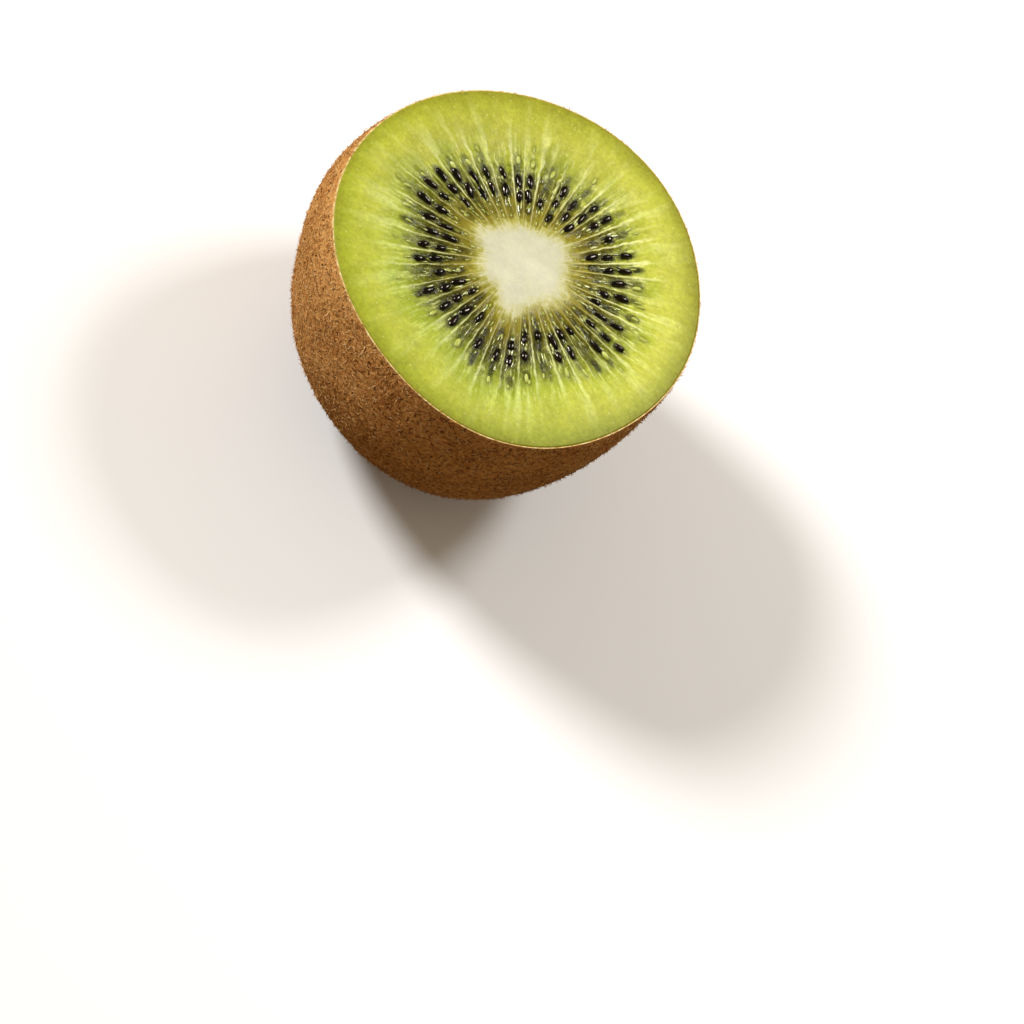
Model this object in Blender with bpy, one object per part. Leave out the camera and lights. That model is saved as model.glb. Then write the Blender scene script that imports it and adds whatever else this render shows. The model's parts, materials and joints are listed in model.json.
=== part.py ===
"""Half of a green kiwi fruit, cut straight across its middle and resting on its closed end.

The frame is in metres with +Z up. The origin is the middle of the small flat spot that the fruit
rests on, +Z is the fruit's own axis, and the cut face looks up. Skin, flesh, core and seeds have
grown together, so the fruit is one solid. Lengths below are in millimetres and angles in degrees,
and MM turns a length into metres where a point is made.
"""

import math
import random

import bmesh
import bpy
from mathutils import Matrix, Vector

MM = 0.001

# Outside of the fruit
CUT_HALF_X = 24.3  # from the axis to the skin at the cut, along X
CUT_HALF_Y = 26.3  # the same along Y: the fruit is slightly flattened
LOBES = (  # waves round the outline: how many, share of the radius, turn
    (3, 0.012, 72.0),
    (4, 0.004, 37.0),
    (5, 0.005, 11.0),
)
CUT_BULGES = (  # where the outline bulges or draws in: direction, how far, and how wide in degrees
    (190.0, 0.53, 29.5),
    (64.0, -0.45, 39.0),
)
HEIGHT = 32.15  # flat spot to cut face
WIDEST_BELOW_CUT = 4.0
FULL_DEPTH = 32.6  # where the round end would close if it had no flat spot
PROFILE_POWER = 2.35  # 2 is an ellipse, more is fuller
SHOULDER = 0.85  # how far one side swells under the rim
SHOULDER_DIRECTION = 198.0
SHOULDER_WIDTH = 34.0  # in degrees
SHOULDER_DEPTH = 16.0  # from the rim to where the swelling ends
SKIN_RINGS = 15
PROFILE_STEPS = 400  # points along the profile when it is measured

# Cut face
SKIN_THICKNESS = 0.45
CORE_RADIUS = 5.75
CORE_CORNERS = (  # where the core bulges: direction, how far, and how wide in degrees
    (7.0, 0.7, 20.0),
    (73.0, 1.7, 22.0),
    (190.0, 1.5, 14.0),
    (243.0, 0.8, 14.0),
    (292.0, 2.6, 16.0),
)
SEED_RING_RADIUS = 11.7  # middle of the ring of seeds where the core is round
SEED_RING_FOLLOWS_CORE = 1.1  # how far the ring moves out where the core bulges by 1
RAYS_PAST_SEEDS = 5.0  # from the middle of the seed ring to the end of the pale rays
CORE_RISE = 0.1
FLESH_RISE = 0.25
SEED_RING_SAG = 0.4
SAG_SHAPE = 1.5  # power of the sine that the sag follows: above 1 it starts and ends gently
RAY_RISE = 0.3

# Seed chambers, with a ray of pale flesh between each two
CHAMBERS = 40
CHAMBER_ANGLE = 360.0 / CHAMBERS
COLUMNS_PER_CHAMBER = 3  # one column of points on the ray, two in the chamber
RAY_JITTER = 0.2  # share of a chamber's angle
RAY_DRAW = 11  # seed of the random draw for the rays
SEED_DRAW = 23  # seed of the random draw for the seeds

# Seeds
SEEDS_IN_CHAMBER = (1, 2, 3)
CHANCE_OF_SEEDS = (0.28, 0.52, 0.2)
SEED_SPACING = (2.1, 2.75)  # along a chamber, middle to middle
SEED_RING_SCATTER = 1.1
SEED_OFF_MIDDLE = 0.09  # from the middle of the chamber, share of its angle
SEED_LENGTH = (1.45, 2.3)
SEED_WIDTH = (0.75, 1.08)
SEED_THICKNESS = (0.7, 0.9)
SEED_FILL = 0.92  # most of its chamber's width that a seed takes
SEED_TAPER = 0.3  # how much narrower the end towards the core is
SEED_LIFT = (-0.04, 0.14)  # middle of a seed above the flesh round it
SEED_TURN = 13.0  # most that a seed turns away from its chamber, in degrees
SEED_TIP = 8.0  # most that one of its ends is raised, in degrees
SEED_SIDES, SEED_BANDS = 6, 4

# Colours as sRGB hex, then roughness
FINISHES = {
    "fuzzy_skin": ("#AC7A41", 0.8),
    "skin_edge": ("#DCCB8C", 0.6),
    "green_flesh": ("#C2C84E", 0.35),
    "pale_core": ("#E5E1BC", 0.5),
    "black_seed": ("#1A1410", 0.25),
}


def clear_scene():
    for thing in list(bpy.data.objects):
        bpy.data.objects.remove(thing, do_unlink=True)


def linear_colour(text):
    """sRGB hex as the linear red, green, blue and alpha of a material."""
    parts = [int(text[i : i + 2], 16) / 255 for i in (1, 3, 5)]
    return [c / 12.92 if c <= 0.04045 else ((c + 0.055) / 1.055) ** 2.4 for c in parts] + [1.0]


def make_finish(name):
    text, roughness = FINISHES[name]
    material = bpy.data.materials.new(name)
    material.use_nodes = True
    shader = material.node_tree.nodes["Principled BSDF"]
    shader.inputs["Base Color"].default_value = linear_colour(text)
    shader.inputs["Roughness"].default_value = roughness
    shader.inputs["Metallic"].default_value = 0.0
    material.diffuse_color = linear_colour(text)
    return material


def angle_between(a, b):
    return (a - b + 180.0) % 360.0 - 180.0


def bulge_out(angle, bulges):
    """How far an outline bulges out in a direction, added up over soft bulges."""
    return sum(
        bulge * math.exp(-((angle_between(angle, middle) / wide) ** 2))
        for middle, bulge, wide in bulges
    )


def cut_radius(angle):
    """Outline of the cut: an ellipse with a few shallow lobes and two soft bulges."""
    turn = math.radians(angle)
    ellipse = 1.0 / math.hypot(math.cos(turn) / CUT_HALF_X, math.sin(turn) / CUT_HALF_Y)
    lobes = sum(share * math.cos(math.radians(n * (angle - start))) for n, share, start in LOBES)
    return ellipse * (1.0 + lobes) + bulge_out(angle, CUT_BULGES)


def girth(depth):
    """Superellipse profile, widest a little below the cut."""
    along = abs(depth - WIDEST_BELOW_CUT) / (FULL_DEPTH - WIDEST_BELOW_CUT)
    return (1.0 - along**PROFILE_POWER) ** (1.0 / PROFILE_POWER)


def shoulder(angle, depth):
    """A swelling on one side that is fullest at a third of its depth and dies away below."""
    turned = angle_between(angle, SHOULDER_DIRECTION) / SHOULDER_WIDTH
    sunk = min(1.0, depth / SHOULDER_DEPTH)
    peak = 4.0 / 27.0  # of the hump below, so that it swells by SHOULDER at most
    return SHOULDER * math.exp(-(turned**2)) * sunk * (1.0 - sunk) ** 2 / peak


def skin_radius(angle, depth):
    """Distance of the skin from the axis at a depth below the cut."""
    return cut_radius(angle) * girth(depth) / girth(0.0) + shoulder(angle, depth)


def skin_depths():
    """Depths of the rings of the skin, from the flat spot up, evenly spaced along the profile."""
    profile, travelled = [], [0.0]
    for i in range(PROFILE_STEPS + 1):
        turn = math.pi / 2 * (1.0 - i / PROFILE_STEPS)
        depth = WIDEST_BELOW_CUT + (FULL_DEPTH - WIDEST_BELOW_CUT) * math.sin(turn)
        profile.append((min(depth, HEIGHT), CUT_HALF_X * girth(min(depth, HEIGHT))))
    profile.append((0.0, CUT_HALF_X * girth(0.0)))
    for lower, upper in zip(profile, profile[1:]):
        travelled.append(travelled[-1] + math.dist(lower, upper))
    depths = []
    for i in range(SKIN_RINGS + 1):
        goal = travelled[-1] * i / SKIN_RINGS
        k = max(1, next(j for j, way in enumerate(travelled) if way >= goal - 1e-9))
        share = (goal - travelled[k - 1]) / max(travelled[k] - travelled[k - 1], 1e-9)
        depths.append(profile[k - 1][0] + (profile[k][0] - profile[k - 1][0]) * share)
    return depths


def core_radius(angle):
    """Outline of the white core, which is round with soft corners."""
    return CORE_RADIUS + bulge_out(angle, CORE_CORNERS)


def seed_ring_radius(angle):
    return SEED_RING_RADIUS + SEED_RING_FOLLOWS_CORE * (core_radius(angle) - CORE_RADIUS)


def ray_end_radius(angle):
    return seed_ring_radius(angle) + RAYS_PAST_SEEDS


def ray_directions():
    """Directions of the pale rays, slightly uneven."""
    draw = random.Random(RAY_DRAW)
    return [(i + draw.uniform(-RAY_JITTER, RAY_JITTER)) * CHAMBER_ANGLE for i in range(CHAMBERS)]


def column_directions(rays):
    """Directions of the columns of points: each ray, then even steps to the next ray."""
    columns = []
    for i, ray in enumerate(rays):
        following = rays[i + 1] if i + 1 < len(rays) else rays[0] + 360.0
        for step in range(COLUMNS_PER_CHAMBER):
            columns.append(ray + (following - ray) * step / COLUMNS_PER_CHAMBER)
    return columns


def face_height(angle, radius, on_ray):
    """Height of the cut face over its rim: flesh swells, the seed ring sags, and rays stand up in it."""
    core, ray_end = core_radius(angle), ray_end_radius(angle)
    if radius <= core:
        return CORE_RISE
    if radius >= ray_end:
        across = (radius - ray_end) / (cut_radius(angle) - SKIN_THICKNESS - ray_end)
        return FLESH_RISE * math.sin(math.pi * min(1.0, across))
    dip = math.sin(math.pi * (radius - core) / (ray_end - core)) ** SAG_SHAPE
    return dip * ((RAY_RISE if on_ray else 0.0) - SEED_RING_SAG)


def point(angle, radius, height):
    turn = math.radians(angle)
    return Vector((radius * math.cos(turn), radius * math.sin(turn), height)) * MM


def skin_rings(bm, columns):
    """Rings of points from the edge of the flat spot up to the rim of the cut."""
    return [
        [bm.verts.new(point(a, skin_radius(a, depth), HEIGHT - depth)) for a in columns]
        for depth in skin_depths()
    ]


def flesh_rings(bm, columns):
    """Rings of points across the cut, from inside the skin to just outside the core."""
    inner_skin = [cut_radius(a) - SKIN_THICKNESS for a in columns]
    ends = [ray_end_radius(a) for a in columns]
    seeds = [seed_ring_radius(a) for a in columns]
    cores = [core_radius(a) for a in columns]
    stations = [
        inner_skin,
        [skin - 0.6 for skin in inner_skin],
        [(skin + end) / 2 for skin, end in zip(inner_skin, ends)],
        ends,
        [end - 1.6 for end in ends],
        [ring + 1.5 for ring in seeds],
        [ring - 0.4 for ring in seeds],
        [ring - 2.2 for ring in seeds],
        [(2 * core + ring) / 3 for core, ring in zip(cores, seeds)],
        [core + 0.3 for core in cores],
    ]
    return [
        [
            bm.verts.new(point(a, r, HEIGHT + face_height(a, r, i % COLUMNS_PER_CHAMBER == 0)))
            for i, (a, r) in enumerate(zip(columns, radii))
        ]
        for radii in stations
    ]


def core_rings(bm, columns, rays):
    """Rings of points on the core: its edge, then coarser rings inwards."""
    edge = [bm.verts.new(point(a, core_radius(a) - 0.3, HEIGHT + CORE_RISE)) for a in columns]
    rings = [edge]
    for share, rise in ((0.7, 0.06), (0.35, 0.1)):
        height = HEIGHT + CORE_RISE + rise
        rings.append([bm.verts.new(point(a, share * core_radius(a), height)) for a in rays])
    return rings


def join_rings(bm, outer, inner, slot):
    """Faces between two rings, where the outer may have a few points for each of the inner."""
    step = len(outer) // len(inner)
    for i, corner in enumerate(inner):
        edge = [outer[(i * step + k) % len(outer)] for k in range(step + 1)]
        face = bm.faces.new([*edge, inner[(i + 1) % len(inner)], corner])
        face.material_index = slot


def build_fruit(finishes):
    """Skin, cut face and core as one closed mesh, from the flat spot up and in to the middle of the core."""
    slots = {name: i for i, name in enumerate(finishes)}
    rays = ray_directions()
    columns = column_directions(rays)
    bm = bmesh.new()
    skin = skin_rings(bm, columns)
    flesh = flesh_rings(bm, columns)
    core = core_rings(bm, columns, rays)

    floor = bm.faces.new(reversed(skin[0]))
    floor.material_index = slots["fuzzy_skin"]
    for below, above in zip(skin, skin[1:]):
        join_rings(bm, below, above, slots["fuzzy_skin"])
    join_rings(bm, skin[-1], flesh[0], slots["skin_edge"])
    for outer, inner in zip(flesh, flesh[1:]):
        join_rings(bm, outer, inner, slots["green_flesh"])
    join_rings(bm, flesh[-1], core[0], slots["green_flesh"])
    for outer, inner in zip(core, core[1:]):
        join_rings(bm, outer, inner, slots["pale_core"])
    middle = bm.faces.new(core[-1])
    middle.material_index = slots["pale_core"]

    mesh = bpy.data.meshes.new("kiwi_half")
    bm.to_mesh(mesh)
    bm.free()
    for finish in finishes.values():
        mesh.materials.append(finish)
    fruit = bpy.data.objects.new("kiwi_half", mesh)
    bpy.context.scene.collection.objects.link(fruit)
    return fruit


def seed_stations(count, draw):
    """How far from the middle of the seed ring each seed of one chamber lies."""
    shift = draw.uniform(-SEED_RING_SCATTER, SEED_RING_SCATTER)
    if count == 1:
        shift *= 2.0
    gaps = [draw.uniform(*SEED_SPACING) for _ in range(count - 1)]
    return [shift - sum(gaps) / 2 + sum(gaps[:i]) for i in range(count)]


def seed_poses(rays):
    """Where each seed lies, as a matrix that turns a sphere of radius 1 into the seed."""
    draw = random.Random(SEED_DRAW)
    poses = []
    for i, ray in enumerate(rays):
        following = rays[i + 1] if i + 1 < len(rays) else rays[0] + 360.0
        middle = (ray + following) / 2
        count = draw.choices(SEEDS_IN_CHAMBER, CHANCE_OF_SEEDS)[0]
        for offset in seed_stations(count, draw):
            angle = middle + draw.uniform(-SEED_OFF_MIDDLE, SEED_OFF_MIDDLE) * (following - ray)
            radius = seed_ring_radius(angle) + offset
            room = SEED_FILL * math.radians(following - ray) * radius
            size = [draw.uniform(*limits) for limits in (SEED_LENGTH, SEED_WIDTH, SEED_THICKNESS)]
            size[1] = min(size[1], room)
            height = HEIGHT + face_height(angle, radius, False) + draw.uniform(*SEED_LIFT)
            aside, tip = draw.uniform(-SEED_TURN, SEED_TURN), draw.uniform(-SEED_TIP, SEED_TIP)
            turn = Matrix.Rotation(math.radians(angle + aside), 4, "Z")
            dip = Matrix.Rotation(math.radians(tip), 4, "Y")
            stretch = Matrix.Diagonal([half * MM / 2 for half in size] + [1.0])
            poses.append(Matrix.Translation(point(angle, radius, height)) @ turn @ dip @ stretch)
    return poses


def build_seed(name, pose, finish):
    """A flattened drop, its narrow end towards the core."""
    bm = bmesh.new()
    lie_down = Matrix.Rotation(math.radians(90), 4, "Y")
    bmesh.ops.create_uvsphere(
        bm, u_segments=SEED_SIDES, v_segments=SEED_BANDS, radius=1.0, matrix=lie_down
    )
    for corner in bm.verts:
        narrowing = 1.0 - SEED_TAPER * (1.0 - corner.co.x) / 2
        corner.co.y *= narrowing
        corner.co.z *= narrowing
    bm.transform(pose)
    mesh = bpy.data.meshes.new(name)
    bm.to_mesh(mesh)
    bm.free()
    mesh.materials.append(finish)
    return bpy.data.objects.new(name, mesh)


def fuse_seeds(fruit, poses, finish):
    """One union joins every seed to the flesh that it sits in."""
    seeds = bpy.data.collections.new("seeds")
    bpy.context.scene.collection.children.link(seeds)
    for i, pose in enumerate(poses):
        seeds.objects.link(build_seed(f"seed_{i:02d}", pose, finish))
    union = fruit.modifiers.new("seeds in the flesh", "BOOLEAN")
    union.operation = "UNION"
    union.operand_type = "COLLECTION"
    union.collection = seeds
    union.solver = "EXACT"
    union.material_mode = "TRANSFER"
    graph = bpy.context.evaluated_depsgraph_get()
    fused = bpy.data.meshes.new_from_object(fruit.evaluated_get(graph))
    fruit.modifiers.remove(union)
    fruit.data = fused
    for seed in list(seeds.objects):
        bpy.data.objects.remove(seed, do_unlink=True)
    bpy.data.collections.remove(seeds)


def main():
    clear_scene()
    finishes = {name: make_finish(name) for name in FINISHES}
    fruit = build_fruit(finishes)
    fuse_seeds(fruit, seed_poses(ray_directions()), finishes["black_seed"])
    fruit.data.shade_smooth()
    fruit.data.set_sharp_from_angle(angle=math.radians(40))


main()
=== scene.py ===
# %% [markdown]
# # Kiwi fruit half
# A green kiwi fruit, cut straight across its middle, stands on its closed end and shows its cut.
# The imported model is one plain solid. This script dresses it: flesh with pale rays round a white
# core, black seeds, undeveloped seeds, beads of juice, a thin brown skin and the fuzz on it.
# Lengths are in millimetres and angles in degrees, and MM turns a length into metres.

import json
import math
import random
from types import SimpleNamespace

import bpy
import numpy as np
from mathutils import Matrix, Vector

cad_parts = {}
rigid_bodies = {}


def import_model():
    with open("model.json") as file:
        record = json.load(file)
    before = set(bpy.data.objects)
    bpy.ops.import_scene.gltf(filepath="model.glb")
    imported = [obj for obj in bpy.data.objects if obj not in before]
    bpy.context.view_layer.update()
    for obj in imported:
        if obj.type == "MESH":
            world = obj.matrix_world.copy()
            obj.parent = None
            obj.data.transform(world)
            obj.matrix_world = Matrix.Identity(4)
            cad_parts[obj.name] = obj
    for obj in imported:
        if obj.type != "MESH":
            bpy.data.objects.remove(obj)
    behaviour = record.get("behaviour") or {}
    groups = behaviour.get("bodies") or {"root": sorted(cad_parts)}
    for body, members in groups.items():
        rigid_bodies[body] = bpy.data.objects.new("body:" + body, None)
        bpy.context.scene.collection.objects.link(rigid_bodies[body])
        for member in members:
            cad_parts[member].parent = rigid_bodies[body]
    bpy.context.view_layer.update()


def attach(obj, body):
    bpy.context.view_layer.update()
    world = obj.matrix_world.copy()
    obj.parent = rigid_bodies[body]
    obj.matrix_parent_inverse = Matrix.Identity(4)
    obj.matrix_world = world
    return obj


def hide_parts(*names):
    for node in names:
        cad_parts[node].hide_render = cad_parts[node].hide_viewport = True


MM = 0.001
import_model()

# %% [markdown]
# ## Sizes of the fruit
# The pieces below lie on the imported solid, so they start from the same driving sizes as it does:
# an oval with shallow lobes for the cut, a full round profile below it, and a core with soft
# corners. Everything else on the cut is placed by its distance from the core, so the seed ring
# follows the core where it bulges.

# %% Sizes of the fruit
CUT_HALF_X = 24.3
CUT_HALF_Y = 26.3
LOBES = ((3, 0.012, 72.0), (4, 0.004, 37.0), (5, 0.005, 11.0))  # how many, share of radius, turn
CUT_BULGES = ((190.0, 0.53, 29.5), (64.0, -0.45, 39.0))  # direction, how far, how wide in degrees
HEIGHT = 32.15
WIDEST_BELOW_CUT = 4.0
FULL_DEPTH = 32.6
PROFILE_POWER = 2.35
SHOULDER = 0.85
SHOULDER_DIRECTION = 198.0
SHOULDER_WIDTH = 34.0
SHOULDER_DEPTH = 16.0
SKIN_THICKNESS = 0.45
CORE_RADIUS = 5.75
CORE_CORNERS = (  # the same, for the core
    (7.0, 0.7, 20.0),
    (73.0, 1.7, 22.0),
    (190.0, 1.5, 14.0),
    (243.0, 0.8, 14.0),
    (292.0, 2.6, 16.0),
)
SEED_RING_RADIUS = 11.7
SEED_RING_FOLLOWS_CORE = 1.1
RAYS_PAST_SEEDS = 5.0
CHAMBERS = 40
CHAMBER_ANGLE = 360.0 / CHAMBERS
RAY_JITTER = 0.2
RAY_DRAW = 11

# %% [markdown]
# ## Outline functions
# These give the outline of the cut, the girth below it and the edge of each zone of the cut. They
# take one angle or a whole array of them, because the fine meshes below have thousands of points.

# %% Outline functions
def angle_between(a, b):
    return (a - b + 180.0) % 360.0 - 180.0


def bulge_out(angle, bulges):
    """How far an outline bulges out in a direction, added up over soft bulges."""
    return sum(
        bulge * np.exp(-((angle_between(angle, middle) / wide) ** 2)) for middle, bulge, wide in bulges
    )


def cut_radius(angle):
    """Outline of the cut: an ellipse with a few shallow lobes and two soft bulges."""
    turn = np.radians(angle)
    ellipse = 1.0 / np.hypot(np.cos(turn) / CUT_HALF_X, np.sin(turn) / CUT_HALF_Y)
    lobes = sum(share * np.cos(np.radians(n * (angle - start))) for n, share, start in LOBES)
    return ellipse * (1.0 + lobes) + bulge_out(angle, CUT_BULGES)


def girth(depth):
    """Share of the widest girth at a depth below the cut."""
    along = abs(depth - WIDEST_BELOW_CUT) / (FULL_DEPTH - WIDEST_BELOW_CUT)
    return (1.0 - along**PROFILE_POWER) ** (1.0 / PROFILE_POWER)


def core_radius(angle):
    return CORE_RADIUS + bulge_out(angle, CORE_CORNERS)


def seed_ring_radius(angle):
    return SEED_RING_RADIUS + SEED_RING_FOLLOWS_CORE * (core_radius(angle) - CORE_RADIUS)


def ray_end_radius(angle):
    return seed_ring_radius(angle) + RAYS_PAST_SEEDS


def ray_directions():
    """Directions of the pale rays, slightly uneven, and the first one again after a full turn."""
    draw = random.Random(RAY_DRAW)
    rays = [(i + draw.uniform(-RAY_JITTER, RAY_JITTER)) * CHAMBER_ANGLE for i in range(CHAMBERS)]
    return rays + [rays[0] + 360.0]


RAYS = ray_directions()
print("rays:", CHAMBERS, "core:", CORE_RADIUS, "seed ring:", SEED_RING_RADIUS)

# %% [markdown]
# ## One helper for nodes
# Materials and Geometry Nodes are both trees of nodes. One helper adds a node of any kind, sets
# its properties and feeds its inputs. Colours are written as sRGB hex, the way a colour picker
# shows them, and one function turns them into the linear values that nodes take.

# %% One helper for nodes
def add(tree, kind, feeds=(), stops=(), **settings):
    """Adds a node. Settings are its properties, stops are the colours of a colour ramp. Feeds go to
    its inputs, as a list in their order or by name: a node or socket is linked, a value is set."""
    node = tree.nodes.new(kind)
    for name, value in settings.items():
        setattr(node, name, value)
    if stops:
        ramp = node.color_ramp
        while len(ramp.elements) > 1:
            ramp.elements.remove(ramp.elements[-1])
        ramp.elements[0].position = stops[0][0]
        ramp.elements[0].color = linear_colour(stops[0][1])
        for position, colour in stops[1:]:
            ramp.elements.new(position).color = linear_colour(colour)
    pairs = feeds.items() if isinstance(feeds, dict) else enumerate(feeds)
    for key, feed in pairs:
        if feed is None:
            continue
        if isinstance(key, int):
            socket = node.inputs[key]
        else:
            socket = next(s for s in node.inputs if s.name == key and s.enabled)
        if isinstance(feed, bpy.types.Node):
            feed = first_output(feed)
        if isinstance(feed, bpy.types.NodeSocket):
            tree.links.new(feed, socket)
        else:
            socket.default_value = feed
    return node


def first_output(node):
    return next(s for s in node.outputs if s.enabled)


def linear_colour(text):
    """sRGB hex as linear red, green, blue and alpha."""
    parts = [int(text[i : i + 2], 16) / 255 for i in (1, 3, 5)]
    return [c / 12.92 if c <= 0.04045 else ((c + 0.055) / 1.055) ** 2.4 for c in parts] + [1.0]


def place_in_mm(tree):
    """The place on the piece in millimetres, so that a pattern keeps its real size."""
    here = add(tree, "ShaderNodeTexCoord").outputs["Object"]
    return add(tree, "ShaderNodeVectorMath", {"Vector": here, "Scale": 1.0 / MM}, operation="SCALE")


def start_material(name, preview):
    """An empty material with its Principled shader; preview is its colour outside renders."""
    material = bpy.data.materials.new(name)
    material.use_nodes = True
    material.diffuse_color = linear_colour(preview)
    return material, material.node_tree, material.node_tree.nodes["Principled BSDF"]


def set_sockets(shader, **values):
    """Sets sockets of a shader that are the same all over, with _ for the space in their names."""
    for name, value in values.items():
        shader.inputs[name.replace("_", " ")].default_value = value


# %% [markdown]
# ## Map of the cut
# Everything on the cut runs round the core or out from it, so its pattern is drawn in these two
# ways. A painted picture would also do, but it turns coarse close up, and a map worked out from the
# outline follows every bulge. In the piece's own map, one way counts the chambers round the core,
# so a whole number is a ray. The other way counts the zones: 1 is the core's edge, 2 the seed ring,
# 3 the end of the rays and 4 the skin. Colour ramps take a fifth of the zone, which stays below 1.
# Widths of lines are worked out in millimetres.

# %% Map of the cut
def read_cut_map(t):
    """Where a point of the flesh lies, in each of the ways that its pattern is drawn by."""
    own_map = add(t, "ShaderNodeUVMap", uv_map="cut")
    in_map = add(t, "ShaderNodeSeparateXYZ", [own_map])
    chamber, zone = in_map.outputs["X"], in_map.outputs["Y"]
    fifth = add(t, "ShaderNodeMath", [zone, 0.2], operation="MULTIPLY")
    mm = place_in_mm(t)
    axes = add(t, "ShaderNodeSeparateXYZ", [mm])
    flat = add(t, "ShaderNodeVectorMath", [mm, (1.0, 1.0, 0.0)], operation="MULTIPLY")
    radius = add(t, "ShaderNodeVectorMath", [flat], operation="LENGTH").outputs["Value"]

    # Rays wander a little from their own line
    wander = add(t, "ShaderNodeTexNoise", {"Vector": flat, "Scale": 0.6, "Detail": 3.0, "Roughness": 0.6})
    shift = add(t, "ShaderNodeMath", [wander, 0.5], operation="SUBTRACT")
    near = add(t, "ShaderNodeMath", [shift, 0.26, chamber], operation="MULTIPLY_ADD")

    # Three broad zones: the flesh outside the seeds, the juicy chambers, and all but the rim
    outer = add(
        t,
        "ShaderNodeValToRGB",
        [fifth],
        stops=(
            (0.3, "#000000"),
            (0.5, "#BBBBBB"),
            (0.62, "#FFFFFF"),
            (0.74, "#999999"),
            (0.79, "#333333"),
        ),
    )
    juicy = add(
        t,
        "ShaderNodeValToRGB",
        [fifth],
        stops=((0.2, "#000000"), (0.26, "#808080"), (0.4, "#FFFFFF"), (0.5, "#C0C0C0"), (0.6, "#202020")),
    )
    off_rim = add(
        t,
        "ShaderNodeMapRange",
        {"Value": fifth, "From Min": 0.775, "From Max": 0.7, "To Min": 0.15},
    )
    return SimpleNamespace(
        near=near,
        zone=zone,
        fifth=fifth,
        mm=mm,
        x=axes.outputs["X"],
        y=axes.outputs["Y"],
        flat=flat,
        radius=radius,
        outer=outer,
        juicy=juicy,
        off_rim=off_rim,
    )


def stretched_map(t, round_way, out_way, to_a_chamber, outwards):
    """Coordinates for a pattern that runs along the rays: fine round the core, long outwards."""
    across = add(t, "ShaderNodeMath", [round_way, to_a_chamber], operation="MULTIPLY")
    along = add(t, "ShaderNodeMath", [out_way, outwards], operation="MULTIPLY")
    return add(t, "ShaderNodeCombineXYZ", [across, along])


# %% [markdown]
# ## Rays
# The rays are thin pale walls between the seed chambers. Each could be a strip of mesh, but a ray
# frays too softly for that. So the mesh only raises the rays, and the finish draws them by the
# distance to the nearest one. Each has its own strength and width, and its line breaks here and
# there. They widen past the seeds and melt into the outer flesh.

# %% Rays
# A fifth of the zone, and half the width of a ray there in shares of 2 mm
RAY_HALF_WIDTHS = ((0.2, 0.035), (0.4, 0.05), (0.5, 0.07), (0.6, 0.1), (0.68, 0.16))


def draw_rays(t, at):
    """How much of the colour is a ray's, from 0 to 1."""
    share = add(t, "ShaderNodeMath", [at.near], operation="FRACT")
    from_middle = add(t, "ShaderNodeMath", [share, 0.5], operation="SUBTRACT")
    off_middle = add(t, "ShaderNodeMath", [from_middle], operation="ABSOLUTE")
    ray_share = add(t, "ShaderNodeMath", [0.5, off_middle], operation="SUBTRACT")
    arc = add(t, "ShaderNodeMath", [at.radius, math.radians(CHAMBER_ANGLE)], operation="MULTIPLY")
    ray_gap = add(t, "ShaderNodeMath", [ray_share, arc], operation="MULTIPLY")
    nearest = add(t, "ShaderNodeMath", [at.near], operation="ROUND")
    own = add(t, "ShaderNodeTexWhiteNoise", {"W": nearest}, noise_dimensions="1D")

    # A line of the ray's own width, with soft sides
    width = add(t, "ShaderNodeFloatCurve", {"Value": at.fifth})
    for place, half_width in RAY_HALF_WIDTHS:
        width.mapping.curves[0].points.new(place, half_width)
    width.mapping.curves[0].points[0].location = (0.0, 0.04)
    width.mapping.curves[0].points[-1].location = (1.0, 0.4)
    width.mapping.update()
    half = add(t, "ShaderNodeMath", [width, 2.0], operation="MULTIPLY")
    uneven = add(t, "ShaderNodeMapRange", {"Value": own, "To Min": 0.65, "To Max": 1.25})
    half_here = add(t, "ShaderNodeMath", [half, uneven], operation="MULTIPLY")
    ratio = add(t, "ShaderNodeMath", [ray_gap, half_here], operation="DIVIDE")
    line = add(
        t,
        "ShaderNodeMapRange",
        {"Value": ratio, "From Min": 0.5, "From Max": 1.3, "To Min": 1.0, "To Max": 0.0},
        interpolation_type="SMOOTHSTEP",
    )

    # Where a ray shows along its way, and where it breaks
    ray_zone = add(
        t,
        "ShaderNodeValToRGB",
        [at.fifth],
        stops=(
            (0.185, "#000000"),
            (0.24, "#D0D0D0"),
            (0.4, "#FFFFFF"),
            (0.6, "#F0F0F0"),
            (0.68, "#808080"),
            (0.76, "#000000"),
        ),
    )
    along_ray = add(t, "ShaderNodeTexNoise", {"Vector": at.flat, "Scale": 0.9, "Detail": 2.0})
    ray_break = add(
        t,
        "ShaderNodeMapRange",
        {"Value": along_ray, "From Min": 0.3, "From Max": 0.55, "To Min": 0.45, "To Max": 1.0},
    )
    strength = add(t, "ShaderNodeMapRange", {"Value": own, "To Min": 0.4, "To Max": 1.1})
    whole_line = add(t, "ShaderNodeMath", [line, ray_zone], operation="MULTIPLY")
    broken = add(t, "ShaderNodeMath", [whole_line, ray_break], operation="MULTIPLY")
    return add(t, "ShaderNodeMath", [broken, strength], operation="MULTIPLY", use_clamp=True)


# %% [markdown]
# ## Colours from the core to the skin
# The core is cream, the chambers round the seeds are dark olive, and the outer flesh is yellow
# green, darker again at the rim. They have grown together, and separate pieces would show a hard
# seam, so one colour ramp over the zones gives them all. The core's edge is ragged, because short
# pale fibres run out of it, and some chambers stay dark farther out than others.

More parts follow.
